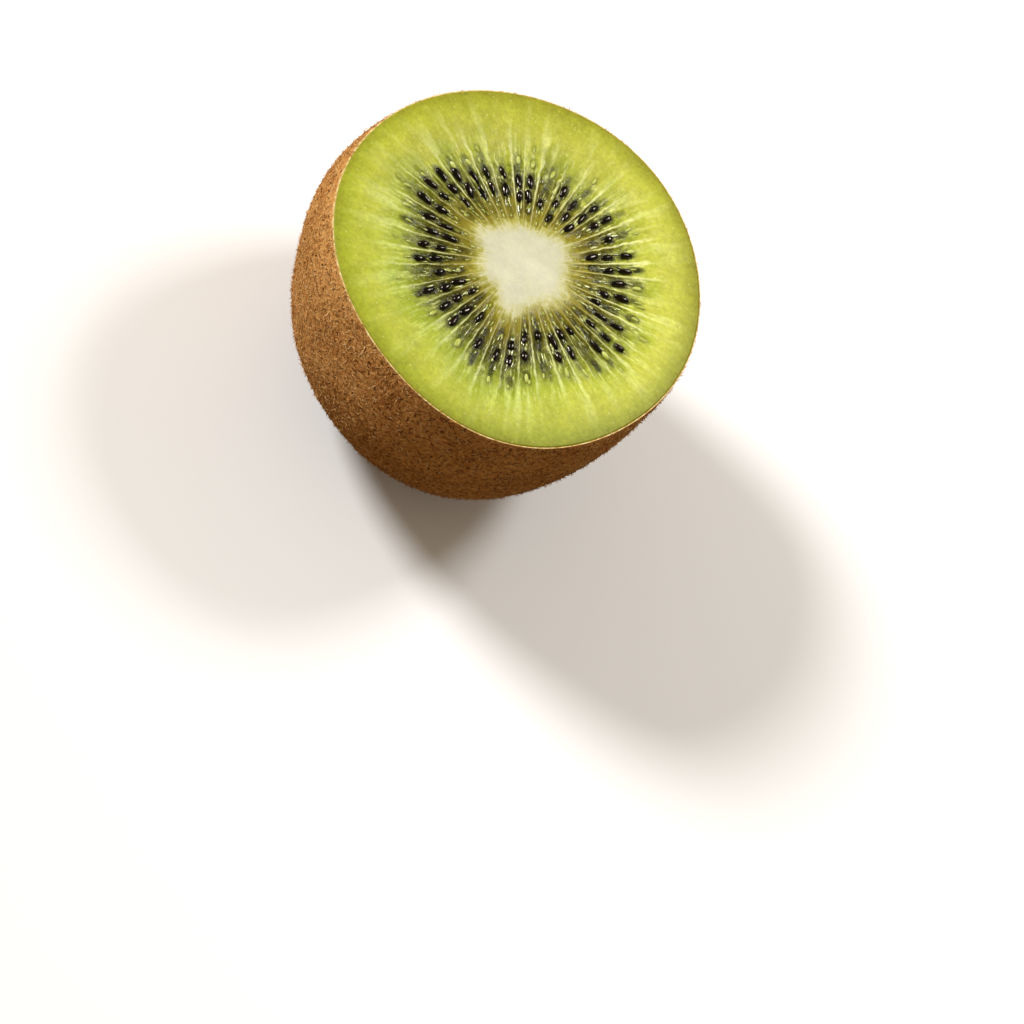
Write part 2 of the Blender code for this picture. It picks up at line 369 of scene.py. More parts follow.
# %% Colours from the core to the skin
def ragged_fifth(t, at):
    """A fifth of the zone, moved in and out a little, so that no colour ends on an even line."""
    fringe_map = stretched_map(t, at.near, at.zone, 3.4, 1.1)
    fringe = add(t, "ShaderNodeTexNoise", {"Vector": fringe_map, "Scale": 1.0, "Detail": 3.0})
    fluff = add(
        t,
        "ShaderNodeTexNoise",
        {"Vector": at.flat, "Scale": 1.1, "Detail": 5.0, "Roughness": 0.65},
    )
    ragged = add(t, "ShaderNodeMath", [fringe, fluff], operation="ADD")
    centred = add(t, "ShaderNodeMath", [ragged, -1.0], operation="ADD")
    ragged_in = add(
        t,
        "ShaderNodeMapRange",
        {"Value": at.zone, "From Min": 0.55, "From Max": 0.95, "To Max": 0.6},
    )
    ragged_out = add(
        t,
        "ShaderNodeMapRange",
        {"Value": at.zone, "From Min": 2.8, "From Max": 3.5, "To Min": 0.6, "To Max": 0.15},
    )
    ragged_part = add(t, "ShaderNodeMath", [ragged_in, ragged_out], operation="MINIMUM")
    moved = add(t, "ShaderNodeMath", [centred, ragged_part, at.zone], operation="MULTIPLY_ADD")

    # Each chamber reaches out as far as it likes
    number = add(t, "ShaderNodeMath", [at.near], operation="FLOOR")
    own = add(t, "ShaderNodeTexWhiteNoise", {"W": number}, noise_dimensions="1D")
    reach_zone = add(
        t,
        "ShaderNodeValToRGB",
        [at.fifth],
        stops=((0.3, "#000000"), (0.48, "#BFBFBF"), (0.6, "#BFBFBF"), (0.7, "#000000")),
    )
    apart = add(t, "ShaderNodeMath", [own, 0.5], operation="SUBTRACT")
    moved_on = add(t, "ShaderNodeMath", [apart, reach_zone, moved], operation="MULTIPLY_ADD")
    return add(t, "ShaderNodeMath", [moved_on, 0.2], operation="MULTIPLY")


def colour_by_zone(t, at, ray):
    """The flesh between the rays, and the paler rays on it."""
    between = add(
        t,
        "ShaderNodeValToRGB",
        [ragged_fifth(t, at)],
        stops=(
            (0.0, "#CFCDB2"),
            (0.15, "#CDCBAD"),
            (0.185, "#C4C18F"),
            (0.21, "#A8A34E"),
            (0.245, "#877D2A"),
            (0.30, "#7E7424"),
            (0.38, "#605C1B"),
            (0.45, "#65661E"),
            (0.52, "#83892C"),
            (0.60, "#A6AB3D"),
            (0.66, "#B5B646"),
            (0.71, "#B2B441"),
            (0.745, "#A8AB39"),
            (0.775, "#9B9D2F"),
            (0.797, "#8E8C29"),
        ),
    )
    pale = add(
        t,
        "ShaderNodeValToRGB",
        [at.fifth],
        stops=(
            (0.2, "#C9C599"),
            (0.3, "#BDBB78"),
            (0.42, "#DCDCA2"),
            (0.58, "#DCDF98"),
            (0.72, "#CACF68"),
        ),
    )
    return add(t, "ShaderNodeMix", {"Factor": ray, "A": between, "B": pale}, data_type="RGBA")


# %% [markdown]
# ## Streaks and fibres
# Soft streaks run on from the rays into the outer flesh. Over them lie fine fibres, about 0.2 mm
# wide and a few millimetres long, with dark gaps beside them, and here and there a greener patch.
# Noise that is drawn long and thin in the cut's own map gives both, as it runs along the rays.

# %% Streaks and fibres
def add_streaks(t, at, colour):
    """Soft pale streaks, a few to each chamber."""
    streak_map = stretched_map(t, at.near, at.radius, 2.2, 0.12)
    streaks = add(t, "ShaderNodeTexNoise", {"Vector": streak_map, "Scale": 1.0, "Detail": 3.0})
    streak = add(t, "ShaderNodeMapRange", {"Value": streaks, "From Min": 0.5, "From Max": 0.66})
    streak_here = add(t, "ShaderNodeMath", [streak, at.outer], operation="MULTIPLY")
    streak_part = add(t, "ShaderNodeMath", [streak_here, 0.8], operation="MULTIPLY")
    return add(
        t,
        "ShaderNodeMix",
        {"Factor": streak_part, "A": colour, "B": linear_colour("#D0D47A")},
        data_type="RGBA",
    )


def add_fibres(t, at, colour):
    """Fine pale fibres and the dark gaps beside them."""
    fibre_map = stretched_map(t, at.near, at.radius, 8.0, 0.45)
    fibres = add(
        t,
        "ShaderNodeTexNoise",
        {"Vector": fibre_map, "Scale": 1.0, "Detail": 2.0, "Distortion": 0.4},
    )
    fibre_zone = add(
        t,
        "ShaderNodeValToRGB",
        [at.fifth],
        stops=(
            (0.2, "#000000"),
            (0.26, "#777777"),
            (0.4, "#FFFFFF"),
            (0.6, "#FFFFFF"),
            (0.68, "#777777"),
            (0.77, "#222222"),
        ),
    )
    fibre = add(
        t,
        "ShaderNodeMapRange",
        {"Value": fibres, "From Min": 0.57, "From Max": 0.68, "To Max": 0.75},
    )
    fibre_here = add(t, "ShaderNodeMath", [fibre, fibre_zone], operation="MULTIPLY")
    lighter = add(
        t,
        "ShaderNodeMix",
        {"Factor": fibre_here, "A": colour, "B": linear_colour("#D6D988")},
        data_type="RGBA",
    )
    gap = add(
        t,
        "ShaderNodeMapRange",
        {"Value": fibres, "From Min": 0.44, "From Max": 0.28, "To Max": 0.5},
    )
    gap_here = add(t, "ShaderNodeMath", [gap, fibre_zone], operation="MULTIPLY")
    return add(
        t,
        "ShaderNodeMix",
        {"Factor": gap_here, "A": lighter, "B": linear_colour("#7F8A1C")},
        data_type="RGBA",
    )


def add_green_patches(t, at, colour):
    """Patches a few millimetres wide where the outer flesh is greener."""
    patches = add(
        t,
        "ShaderNodeTexNoise",
        {"Vector": at.mm, "Scale": 0.28, "Detail": 3.0, "Roughness": 0.6},
    )
    patch = add(
        t,
        "ShaderNodeMapRange",
        {"Value": patches, "From Min": 0.48, "From Max": 0.72, "To Max": 0.55},
    )
    patch_here = add(t, "ShaderNodeMath", [patch, at.outer], operation="MULTIPLY")
    return add(
        t,
        "ShaderNodeMix",
        {"Factor": patch_here, "A": colour, "B": linear_colour("#99A52A")},
        data_type="RGBA",
    )


# %% [markdown]
# ## Light and dark flesh
# No part of the flesh is even. It is mottled in larger and smaller spots and greener on one side,
# while the rim stays even. It is also lighter towards one side and at both ends of one way across
# the cut, which is painted light and sheen on the flat cut. The juicy chambers are the most uneven,
# with dark juice and light cell walls side by side. Each of these is a number close to 1, and their
# product lightens or darkens the colour, so that none of them hides another.

# %% Light and dark flesh
# One way across the cut. Painted light makes the flesh lighter at both of its ends.
PAINTED_LIGHT_WAY = (-0.79, -0.61, 0.0)


def mottled_tone(t, at):
    """Soft spots, larger and smaller, that stay faint on the core."""
    cloud = add(
        t,
        "ShaderNodeTexNoise",
        {"Vector": at.mm, "Scale": 0.33, "Detail": 5.0, "Roughness": 0.6},
    )
    cloud_tone = add(
        t,
        "ShaderNodeMapRange",
        {"Value": cloud, "From Min": 0.3, "From Max": 0.7, "To Min": 0.9, "To Max": 1.08},
    )
    grain = add(
        t,
        "ShaderNodeTexNoise",
        {"Vector": at.mm, "Scale": 1.9, "Detail": 4.0, "Roughness": 0.75},
    )
    grain_tone = add(
        t,
        "ShaderNodeMapRange",
        {"Value": grain, "From Min": 0.3, "From Max": 0.7, "To Min": 0.82, "To Max": 1.16},
    )
    past_core = add(
        t,
        "ShaderNodeMapRange",
        {"Value": at.zone, "From Min": 0.8, "From Max": 1.2, "To Min": 0.3},
    )
    grain_here = add(t, "ShaderNodeMix", {"Factor": past_core, "A": 1.0, "B": grain_tone})
    return add(t, "ShaderNodeMath", [cloud_tone, grain_here], operation="MULTIPLY")


def painted_light_side_tone(t, at):
    """Painted light and sheen: lighter towards one side, and at both ends of one way across the cut."""
    # Painted light: the flesh is lighter towards +X, and less so at the rim.
    by_side = add(
        t,
        "ShaderNodeMapRange",
        {"Value": at.x, "From Min": -CUT_HALF_X, "From Max": CUT_HALF_X, "To Min": 0.89, "To Max": 1.09},
    )
    painted_light_side = add(t, "ShaderNodeMix", {"Factor": at.off_rim, "A": 1.0, "B": by_side})
    # Painted light: lighter again at both ends of one way across the cut.
    along = add(t, "ShaderNodeVectorMath", [at.mm, PAINTED_LIGHT_WAY], operation="DOT_PRODUCT").outputs["Value"]
    painted_light_near_end = add(
        t,
        "ShaderNodeMapRange",
        {"Value": along, "From Min": 8.0, "From Max": 25.0, "To Max": 0.18},
    )
    painted_light_far_end = add(
        t,
        "ShaderNodeMapRange",
        {"Value": along, "From Min": -8.0, "From Max": -25.0, "To Max": 0.14},
    )
    lighter = add(t, "ShaderNodeMath", [painted_light_far_end, at.off_rim, painted_light_near_end], operation="MULTIPLY_ADD")
    return add(t, "ShaderNodeMath", [painted_light_side, lighter], operation="ADD")


def add_green_side(t, at, colour):
    """Takes the warmth out of the flesh on one side, most of all at the rim."""
    green_side = add(
        t,
        "ShaderNodeMapRange",
        {"Value": at.y, "From Min": CUT_HALF_Y * 0.6, "From Max": -CUT_HALF_Y * 0.6},
    )
    green_part = add(t, "ShaderNodeMath", [green_side, at.outer], operation="MULTIPLY")
    at_rim = add(t, "ShaderNodeMath", [1.0, at.off_rim], operation="SUBTRACT")
    greener = add(t, "ShaderNodeMath", [green_part, at_rim], operation="MAXIMUM")
    greener_here = add(t, "ShaderNodeMath", [greener, green_side], operation="MULTIPLY")
    return add(
        t,
        "ShaderNodeMix",
        {"Factor": greener_here, "A": colour, "B": linear_colour("#F5FFF4")},
        data_type="RGBA",
        blend_type="MULTIPLY",
    )


def juice_tone(t, at, off_ray):
    """Dark juice and light cell walls in the chambers, darker on one side."""
    juice_map = stretched_map(t, at.near, at.radius, 5.0, 1.1)
    juice = add(
        t,
        "ShaderNodeTexNoise",
        {"Vector": juice_map, "Scale": 1.0, "Detail": 4.0, "Roughness": 0.7},
    )
    uneven = add(
        t,
        "ShaderNodeMapRange",
        {"Value": juice, "From Min": 0.34, "From Max": 0.68, "To Min": 0.3, "To Max": 1.75},
    )
    juice_part = add(t, "ShaderNodeMath", [at.juicy, off_ray], operation="MULTIPLY")
    by_side = add(
        t,
        "ShaderNodeMapRange",
        {
            "Value": at.y,
            "From Min": -SEED_RING_RADIUS,
            "From Max": SEED_RING_RADIUS,
            "To Min": 0.72,
            "To Max": 1.3,
        },
    )
    sided = add(t, "ShaderNodeMath", [uneven, by_side], operation="MULTIPLY")
    return add(t, "ShaderNodeMix", {"Factor": juice_part, "A": 1.0, "B": sided})


# %% [markdown]
# ## Dots and dark juice
# Cut ends of tiny vessels show as pale dots, up to 0.3 mm across. Round the seeds, and over seeds
# that lie just under the cut, the juice looks nearly black. That darkness could be a pattern too,
# but then it would miss the seeds, so the mesh stores how near a seed each point is.

# %% Dots and dark juice
def add_dots(t, at, colour):
    """One dot in each cell of a pattern, and in many cells none."""
    cells = add(t, "ShaderNodeTexVoronoi", {"Vector": at.mm, "Scale": 1.7, "Randomness": 1.0})
    chosen = add(t, "ShaderNodeSeparateColor", [cells.outputs["Color"]])
    dot_size = add(
        t,
        "ShaderNodeMapRange",
        {"Value": chosen, "From Min": 0.3, "From Max": 1.0, "To Min": 0.0, "To Max": 0.22},
    )
    dot_gap = add(t, "ShaderNodeMath", [cells, dot_size], operation="SUBTRACT")
    dot = add(
        t,
        "ShaderNodeMapRange",
        {"Value": dot_gap, "From Min": -0.12, "From Max": 0.06, "To Min": 0.7, "To Max": 0.0},
    )
    dot_zone = add(
        t,
        "ShaderNodeValToRGB",
        [at.fifth],
        stops=(
            (0.2, "#000000"),
            (0.24, "#999999"),
            (0.6, "#FFFFFF"),
            (0.76, "#FFFFFF"),
            (0.8, "#666666"),
        ),
    )
    dot_here = add(t, "ShaderNodeMath", [dot, dot_zone], operation="MULTIPLY")
    return add(
        t,
        "ShaderNodeMix",
        {"Factor": dot_here, "A": colour, "B": linear_colour("#D3D681")},
        data_type="RGBA",
    )


def add_seed_shade(t, at, colour, off_ray):
    """Darkens the flesh by what the mesh stores of the seeds near it, and hardly at all on a ray."""
    shade = add(t, "ShaderNodeAttribute", attribute_name="seed_shade").outputs["Fac"]
    shade_noise = add(t, "ShaderNodeTexNoise", {"Vector": at.mm, "Scale": 1.6, "Detail": 3.0})
    shade_tone = add(
        t,
        "ShaderNodeMapRange",
        {"Value": shade_noise, "From Min": 0.3, "From Max": 0.6, "To Min": 0.6, "To Max": 1.0},
    )
    shade_part = add(t, "ShaderNodeMath", [shade, shade_tone], operation="MULTIPLY")
    ray_keeps = add(t, "ShaderNodeMapRange", {"Value": off_ray, "To Min": 0.15, "To Max": 1.0})
    shade_here = add(t, "ShaderNodeMath", [shade_part, ray_keeps], operation="MULTIPLY")
    return add(
        t,
        "ShaderNodeMix",
        {"Factor": shade_here, "A": colour, "B": linear_colour("#1B1A08")},
        data_type="RGBA",
    )


# %% [markdown]
# ## Finish of the flesh
# Kiwi flesh is watery tissue: yellow green, slightly see-through, wet from the knife. Light goes
# a little way in and comes out softened, which the subsurface part of the shader gives. A clear
# shader would show the plain inside of the piece, so the light stays near the surface. The
# chambers are wetter than the core and the outer flesh, so they are smoother and mirror more.

# %% Finish of the flesh
def wet_the_flesh(t, at, shader):
    """Fine wet relief, too small for the mesh, and gloss that follows the juice."""
    cells = add(t, "ShaderNodeTexVoronoi", {"Vector": at.mm, "Scale": 3.5}, feature="SMOOTH_F1")
    fine = add(t, "ShaderNodeTexNoise", {"Vector": at.mm, "Scale": 6.0, "Detail": 2.0})
    relief = add(t, "ShaderNodeMath", [cells, fine], operation="ADD")
    wetter = add(t, "ShaderNodeMapRange", {"Value": at.juicy, "To Min": 0.5, "To Max": 2.2})
    relief_here = add(t, "ShaderNodeMath", [relief, wetter], operation="MULTIPLY")
    bump = add(t, "ShaderNodeBump", {"Strength": 0.5, "Distance": 0.08 * MM, "Height": relief_here})
    t.links.new(bump.outputs["Normal"], shader.inputs["Normal"])
    rough = add(
        t,
        "ShaderNodeValToRGB",
        [at.fifth],
        stops=(
            (0.16, "#A0A0A0"),
            (0.24, "#606060"),
            (0.4, "#505050"),
            (0.55, "#686868"),
            (0.65, "#A0A0A0"),
        ),
    )
    t.links.new(rough.outputs["Color"], shader.inputs["Roughness"])
    glossy = add(t, "ShaderNodeMapRange", {"Value": at.juicy, "To Min": 0.12, "To Max": 0.4})
    t.links.new(first_output(glossy), shader.inputs["Specular IOR Level"])


def make_flesh_finish():
    """Wet, slightly translucent fruit flesh: soft inner light, fine wet gloss."""
    material, t, shader = start_material("wet_green_flesh", "#C6CA51")
    at = read_cut_map(t)
    ray = draw_rays(t, at)
    off_ray = add(t, "ShaderNodeMath", [1.0, ray], operation="SUBTRACT")
    colour = colour_by_zone(t, at, ray)
    colour = add_streaks(t, at, colour)
    colour = add_fibres(t, at, colour)
    colour = add_green_patches(t, at, colour)
    colour = add_green_side(t, at, colour)
    # Mottling, multiplied by the painted light on one side of the cut.
    mottle_and_painted_light = add(t, "ShaderNodeMath", [mottled_tone(t, at), painted_light_side_tone(t, at)], operation="MULTIPLY")
    tone = add(t, "ShaderNodeMath", [mottle_and_painted_light, juice_tone(t, at, off_ray)], operation="MULTIPLY")
    colour = add(
        t,
        "ShaderNodeMix",
        {"Factor": 1.0, "A": colour, "B": tone},
        data_type="RGBA",
        blend_type="MULTIPLY",
    )
    colour = add_dots(t, at, colour)
    colour = add_seed_shade(t, at, colour, off_ray)
    t.links.new(first_output(colour), shader.inputs["Base Color"])
    wet_the_flesh(t, at, shader)
    set_sockets(shader, IOR=1.36, Subsurface_Weight=0.25, Subsurface_Scale=0.8 * MM)
    shader.inputs["Subsurface Radius"].default_value = (1.0, 0.95, 0.35)
    return material


flesh_finish = make_flesh_finish()
print("finish:", flesh_finish.name, len(flesh_finish.node_tree.nodes), "nodes")

# %% [markdown]
# ## Places of the seeds
# Each chamber between two rays holds one to three seeds in a row. The draw below is the same as
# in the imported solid, so every seed lies where the solid has it. Seeds that sit deeper show as
# dark blurs through the flesh, and they fill gaps in the rows by a draw of their own.

# %% Places of the seeds
SEED_DRAW = 23
SEEDS_IN_CHAMBER = (1, 2, 3)
CHANCE_OF_SEEDS = (0.28, 0.52, 0.2)
SEED_SPACING = (2.1, 2.75)
SEED_RING_SCATTER = 1.1
SEED_OFF_MIDDLE = 0.09
SEED_LENGTH = (1.45, 2.3)
SEED_WIDTH = (0.75, 1.08)
SEED_THICKNESS = (0.7, 0.9)
SEED_FILL = 0.92
SEED_LIFT = (-0.04, 0.14)
SEED_TURN = 13.0
SEED_TIP = 8.0
CORE_RISE = 0.1
FLESH_RISE = 0.25
SEED_RING_SAG = 0.4
SAG_SHAPE = 1.5
RAY_RISE = 0.3
SUNK_DRAW = 5
SUNK_OFFSETS = (-3.3, -1.9, -0.6, 0.8, 2.1, 3.4)  # from the seed ring, along a chamber
SUNK_SCATTER = 0.4
SUNK_OFF_MIDDLE = 0.12
SUNK_LENGTH = (1.3, 2.4)
SUNK_WIDTH = (0.5, 0.9)
SUNK_FAINTEST = 0.3  # fainter ones are left out
SUNK_CLEAR = 1.1  # from the middle of a seed that shows


def dip(angle, radius):
    """How much of the seed ring's sag a place has, from 0 to 1."""
    core, end = core_radius(angle), ray_end_radius(angle)
    across = np.clip((radius - core) / (end - core), 0.0, 1.0)
    return np.sin(np.pi * across) ** SAG_SHAPE


def seed_places():
    """Angle, radius, height, turn, tip and size of each seed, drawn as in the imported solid."""
    draw = random.Random(SEED_DRAW)
    places = []
    for i, (ray, following) in enumerate(zip(RAYS, RAYS[1:])):
        count = draw.choices(SEEDS_IN_CHAMBER, CHANCE_OF_SEEDS)[0]
        shift = draw.uniform(-SEED_RING_SCATTER, SEED_RING_SCATTER) * (2.0 if count == 1 else 1.0)
        gaps = [draw.uniform(*SEED_SPACING) for _ in range(count - 1)]
        offsets = [shift - sum(gaps) / 2 + sum(gaps[:k]) for k in range(count)]
        for offset in offsets:
            aside = draw.uniform(-SEED_OFF_MIDDLE, SEED_OFF_MIDDLE)
            angle = (ray + following) / 2 + aside * (following - ray)
            radius = float(seed_ring_radius(angle)) + offset
            room = SEED_FILL * math.radians(following - ray) * radius
            size = [draw.uniform(*limits) for limits in (SEED_LENGTH, SEED_WIDTH, SEED_THICKNESS)]
            size[1] = min(size[1], room)
            lift = draw.uniform(*SEED_LIFT) - SEED_RING_SAG * float(dip(angle, radius))
            turn = angle + draw.uniform(-SEED_TURN, SEED_TURN)
            tip = draw.uniform(-SEED_TIP, SEED_TIP)
            place = {"chamber": i, "angle": angle, "radius": radius, "height": HEIGHT + lift}
            places.append(place | {"turn": turn, "tip": tip, "size": size})
    return places


def sunk_places(seeds):
    """Angle, radius, strength and size of dark blurs in the gaps between seeds that show."""
    draw = random.Random(SUNK_DRAW)
    places = []
    for i, (ray, following) in enumerate(zip(RAYS, RAYS[1:])):
        taken = [s["radius"] for s in seeds if s["chamber"] == i]
        for offset in SUNK_OFFSETS:
            aside = draw.uniform(-SUNK_OFF_MIDDLE, SUNK_OFF_MIDDLE)
            angle = (ray + following) / 2 + aside * (following - ray)
            radius = float(seed_ring_radius(angle)) + offset + draw.uniform(-SUNK_SCATTER, SUNK_SCATTER)
            strength = draw.uniform(0.0, 1.0)
            size = (draw.uniform(*SUNK_LENGTH), draw.uniform(*SUNK_WIDTH))
            if strength > SUNK_FAINTEST and all(abs(radius - r) > SUNK_CLEAR for r in taken):
                places.append({"angle": angle, "radius": radius, "strength": strength, "size": size})
    return places


OVULE_DRAW = 31
OVULE_ROWS = (  # nearest and farthest from the core, least and most length, chance in a chamber
    (0.7, 1.6, 0.4, 0.7, 0.7),
    (1.7, 2.9, 0.45, 0.8, 0.5),
    (9.0, 10.1, 0.8, 1.5, 0.6),
    (10.3, 11.6, 0.6, 1.2, 0.3),
)
OVULE_ACROSS = (0.35, 0.65)  # share of the way from one ray to the next
OVULE_WIDTH = (0.3, 0.6)  # share of its length
OVULE_THICKNESS = 0.4
OVULE_LIFT = (-0.06, 0.04)
OVULE_TURN = 12.0


def ovule_places():
    """The same for undeveloped seeds, in rows on both sides of the seeds that show."""
    draw = random.Random(OVULE_DRAW)
    places = []
    for ray, following in zip(RAYS, RAYS[1:]):
        for near, far, least, most, chance in OVULE_ROWS:
            angle = ray + (following - ray) * draw.uniform(*OVULE_ACROSS)
            radius = float(core_radius(angle)) + draw.uniform(near, far)
            length = draw.uniform(least, most)
            size = [length, length * draw.uniform(*OVULE_WIDTH), length * OVULE_THICKNESS]
            lift = draw.uniform(*OVULE_LIFT) - SEED_RING_SAG * float(dip(angle, radius))
            turn = angle + draw.uniform(-OVULE_TURN, OVULE_TURN)
            if draw.random() < chance:
                place = {"angle": angle, "radius": radius, "height": HEIGHT + lift}
                places.append(place | {"turn": turn, "tip": 0.0, "size": size})
    return places


SEEDS = seed_places()
SUNK_SEEDS = sunk_places(SEEDS)
OVULES = ovule_places()
print("seeds that show:", len(SEEDS), "under the cut:", len(SUNK_SEEDS), "undeveloped:", len(OVULES))

# %% [markdown]
# ## Net of the flesh
# The cut is a net of rings and columns round the core. Columns crowd at each ray, where the form
# changes fastest, and the rings thin out towards the core's middle. A wall and a floor inside the
# skin close the piece. Each point also stores what the next steps need: its chamber and zone, its
# distance from a ray, its share of the seed ring's sag and how dark the seeds make it. Outside
# the rays the flesh swells up a little, and the core stands slightly proud.

# %% Net of the flesh
COLUMNS_NEAR_RAY = (0.0, 0.035, 0.075, 0.12, 0.18, 0.26, 0.37)
COLUMNS_TO_NEXT_RAY = (0.5, 0.63, 0.74, 0.82, 0.88, 0.925, 0.965)
COLUMNS_IN_CHAMBER = COLUMNS_NEAR_RAY + COLUMNS_TO_NEXT_RAY  # shares of a chamber's width
RINGS_IN_ZONE = {1: 34, 2: 30, 3: 36}
CORE_RINGS = [(1.0 - 0.03 * k, 1) for k in range(1, 4)]  # zone, and how far the columns thin out
CORE_RINGS += [(0.87 - 0.05 * k, 2) for k in range(6)]
CORE_RINGS += [(0.56 - 0.07 * k, 4) for k in range(5)]
CORE_RINGS += [(0.2, 8), (0.1, 8)]
WALL_RINGS = [(0.8, 1), (2.0, 2), (4.0, 4)]  # depth below the cut, and the same
WALL_RINGS += [(4.0 + 3.0 * k, 4) for k in range(1, 9)]
WALL_RINGS += [(31.0, 4)]
INWARDS_BELOW = 20.0
INWARDS_BY = 0.3
FLESH_UNDER_SKIN = 0.29  # how far the flesh reaches over the skin's inside, so that no gap shows
FLESH_OVER_RIM = 0.03
CORE_SLOPE = 0.15  # share of a zone over which the core's edge slopes off, inwards and outwards


def zone_radius(angle, zone):
    """Distance from the axis at a zone: 1 core's edge, 2 seed ring, 3 end of rays, 4 skin."""
    skin_edge = cut_radius(angle) - SKIN_THICKNESS + FLESH_UNDER_SKIN
    edges = (0.0, core_radius(angle), seed_ring_radius(angle), ray_end_radius(angle), skin_edge)
    inner = min(3, int(zone))
    return edges[inner] + (edges[inner + 1] - edges[inner]) * (zone - inner)


def ring_faces(outer, inner):
    """Faces between two rings of point numbers. The outer may have a few for each of the inner."""
    step = len(outer) // len(inner)
    faces = []
    for i, a in enumerate(inner):
        b = inner[(i + 1) % len(inner)]
        edge = [outer[(i * step + k) % len(outer)] for k in range(step + 1)]
        if step == 1:
            faces.append((edge[0], edge[1], b, a))
            continue
        middle = step // 2
        faces += [(edge[k], edge[k + 1], a) for k in range(middle)]
        faces.append((edge[middle], b, a))
        faces += [(edge[k], edge[k + 1], b) for k in range(middle, step)]
    return faces


def seed_shade(x, y):
    """How dark the flesh is from seeds near a point, from 0 to 1."""
    shade = np.zeros_like(x)
    shaders = [(seed, 0.9, 1.6) for seed in SEEDS] + [(ovule, 0.4, 1.6) for ovule in OVULES]
    shaders += [(sunk, sunk["strength"], 1.4) for sunk in SUNK_SEEDS]
    for seed, strength, reach in shaders:
        turn = math.radians(seed["angle"])
        along = x * math.cos(turn) + y * math.sin(turn) - seed["radius"]
        across = -x * math.sin(turn) + y * math.cos(turn)
        far = np.hypot(along / (seed["size"][0] / 2 + 0.15), across / (seed["size"][1] / 2 + 0.1))
        fade = np.clip((reach - far) / (reach - 0.8), 0.0, 1.0)
        shade = np.maximum(shade, strength * fade * fade * (3.0 - 2.0 * fade))
    return shade


def cut_rings():
    """Zone of each ring from the skin to the core's middle, and how far the columns thin out."""
    rings = [(4.0, 1)]
    for zone in (3, 2, 1):
        count = RINGS_IN_ZONE[zone]
        rings += [(zone + 1 - (k + 1) / count, 1) for k in range(count)]
    return rings + CORE_RINGS


def cut_level(zone):
    """Height of the cut over its own plane: the raised outer flesh and the raised core."""
    across = np.clip(zone - 3.0, 0.0, 1.0)
    level = FLESH_RISE * math.sin(math.pi * across) + FLESH_OVER_RIM * across**2
    in_core = min(1.0, max(0.0, (1.0 + CORE_SLOPE - zone) / (2 * CORE_SLOPE)))
    return level + CORE_RISE * in_core * in_core * (3.0 - 2.0 * in_core)


def build_flesh_net():
    """The cut, a wall inside the skin and a floor, as one closed mesh with its own map."""
    shares = np.array(COLUMNS_IN_CHAMBER)
    starts, gaps = np.array(RAYS[:-1]), np.diff(RAYS)
    angles = (starts[:, None] + gaps[:, None] * shares[None, :]).ravel()
    chambers = (np.arange(CHAMBERS)[:, None] + shares[None, :]).ravel()
    points, chamber, zones, numbers = [], [], [], []

    def add_ring(radii, height, zone, thinning):
        turn = np.radians(angles[::thinning])
        heights = np.full_like(radii, height)
        start = sum(len(ring) for ring in numbers)
        points.append(np.stack([radii * np.cos(turn), radii * np.sin(turn), heights], axis=1))
        chamber.append(chambers[::thinning])
        zones.append(np.full_like(radii, zone))
        numbers.append(list(range(start, start + len(radii))))

    for zone, thinning in cut_rings():
        add_ring(zone_radius(angles[::thinning], zone), HEIGHT + cut_level(zone), zone, thinning)
    cut = list(numbers)
    inset = SKIN_THICKNESS - FLESH_UNDER_SKIN
    for depth, thinning in WALL_RINGS:
        share = girth(depth) / girth(0.0)
        inwards = INWARDS_BY if depth > INWARDS_BELOW else 0.0
        radii = (cut_radius(angles[::thinning]) - inset) * share - inwards
        add_ring(radii, HEIGHT - depth, 4.0 + depth / HEIGHT, thinning)
    wall = [cut[0]] + numbers[len(cut) :]

    faces = []
    for outer, inner in zip(cut, cut[1:]):
        faces += ring_faces(outer, inner)
    faces.append(tuple(cut[-1]))
    for above, below in zip(wall, wall[1:]):
        faces += [face[::-1] for face in ring_faces(above, below)]
    faces.append(tuple(reversed(wall[-1])))

    mesh = bpy.data.meshes.new("flesh_net")
    places = np.concatenate(points)
    mesh.from_pydata((places * MM).tolist(), [], faces)
    store_values(mesh, places, np.concatenate(chamber), np.concatenate(zones))
    store_own_map(mesh, np.concatenate(chamber), np.concatenate(zones))
    return mesh


def store_values(mesh, places, chamber, zone):
    """What the form and the finish read from each point."""
    x, y = places[:, 0], places[:, 1]
    radius, angle = np.hypot(x, y), np.degrees(np.arctan2(y, x))
    share = chamber % 1.0
    on_top = zone <= 4.0
    values = {
        "ray_gap": np.minimum(share, 1.0 - share) * np.radians(CHAMBER_ANGLE) * radius,
        "dip": np.where(on_top & (zone > 1.0), dip(angle, radius), 0.0),
        "seed_shade": np.where(on_top, seed_shade(x, y), 0.0),
        "on_cut": np.where(zone < 3.98, 1.0, 0.0),
    }
    for name, value in values.items():
        mesh.attributes.new(name, "FLOAT", "POINT").data.foreach_set("value", value.astype(np.float32))


def store_own_map(mesh, chamber, zone):
    """Chamber and zone as the piece's own map. The last chamber ends at 40 and not at 0."""
    corner_point = np.zeros(len(mesh.loops), np.int32)
    mesh.loops.foreach_get("vertex_index", corner_point)
    first = np.zeros(len(mesh.polygons), np.int32)
    count = np.zeros(len(mesh.polygons), np.int32)
    mesh.polygons.foreach_get("loop_start", first)
    mesh.polygons.foreach_get("loop_total", count)
    u = chamber[corner_point]
    widest = np.maximum.reduceat(u, first)
    u = np.where(np.repeat(widest, count) - u > CHAMBERS / 2, u + CHAMBERS, u)
    corners = np.stack([u, zone[corner_point]], axis=1)
    own_map = mesh.uv_layers.new(name="cut")
    own_map.data.foreach_set("uv", corners.astype(np.float32).ravel())


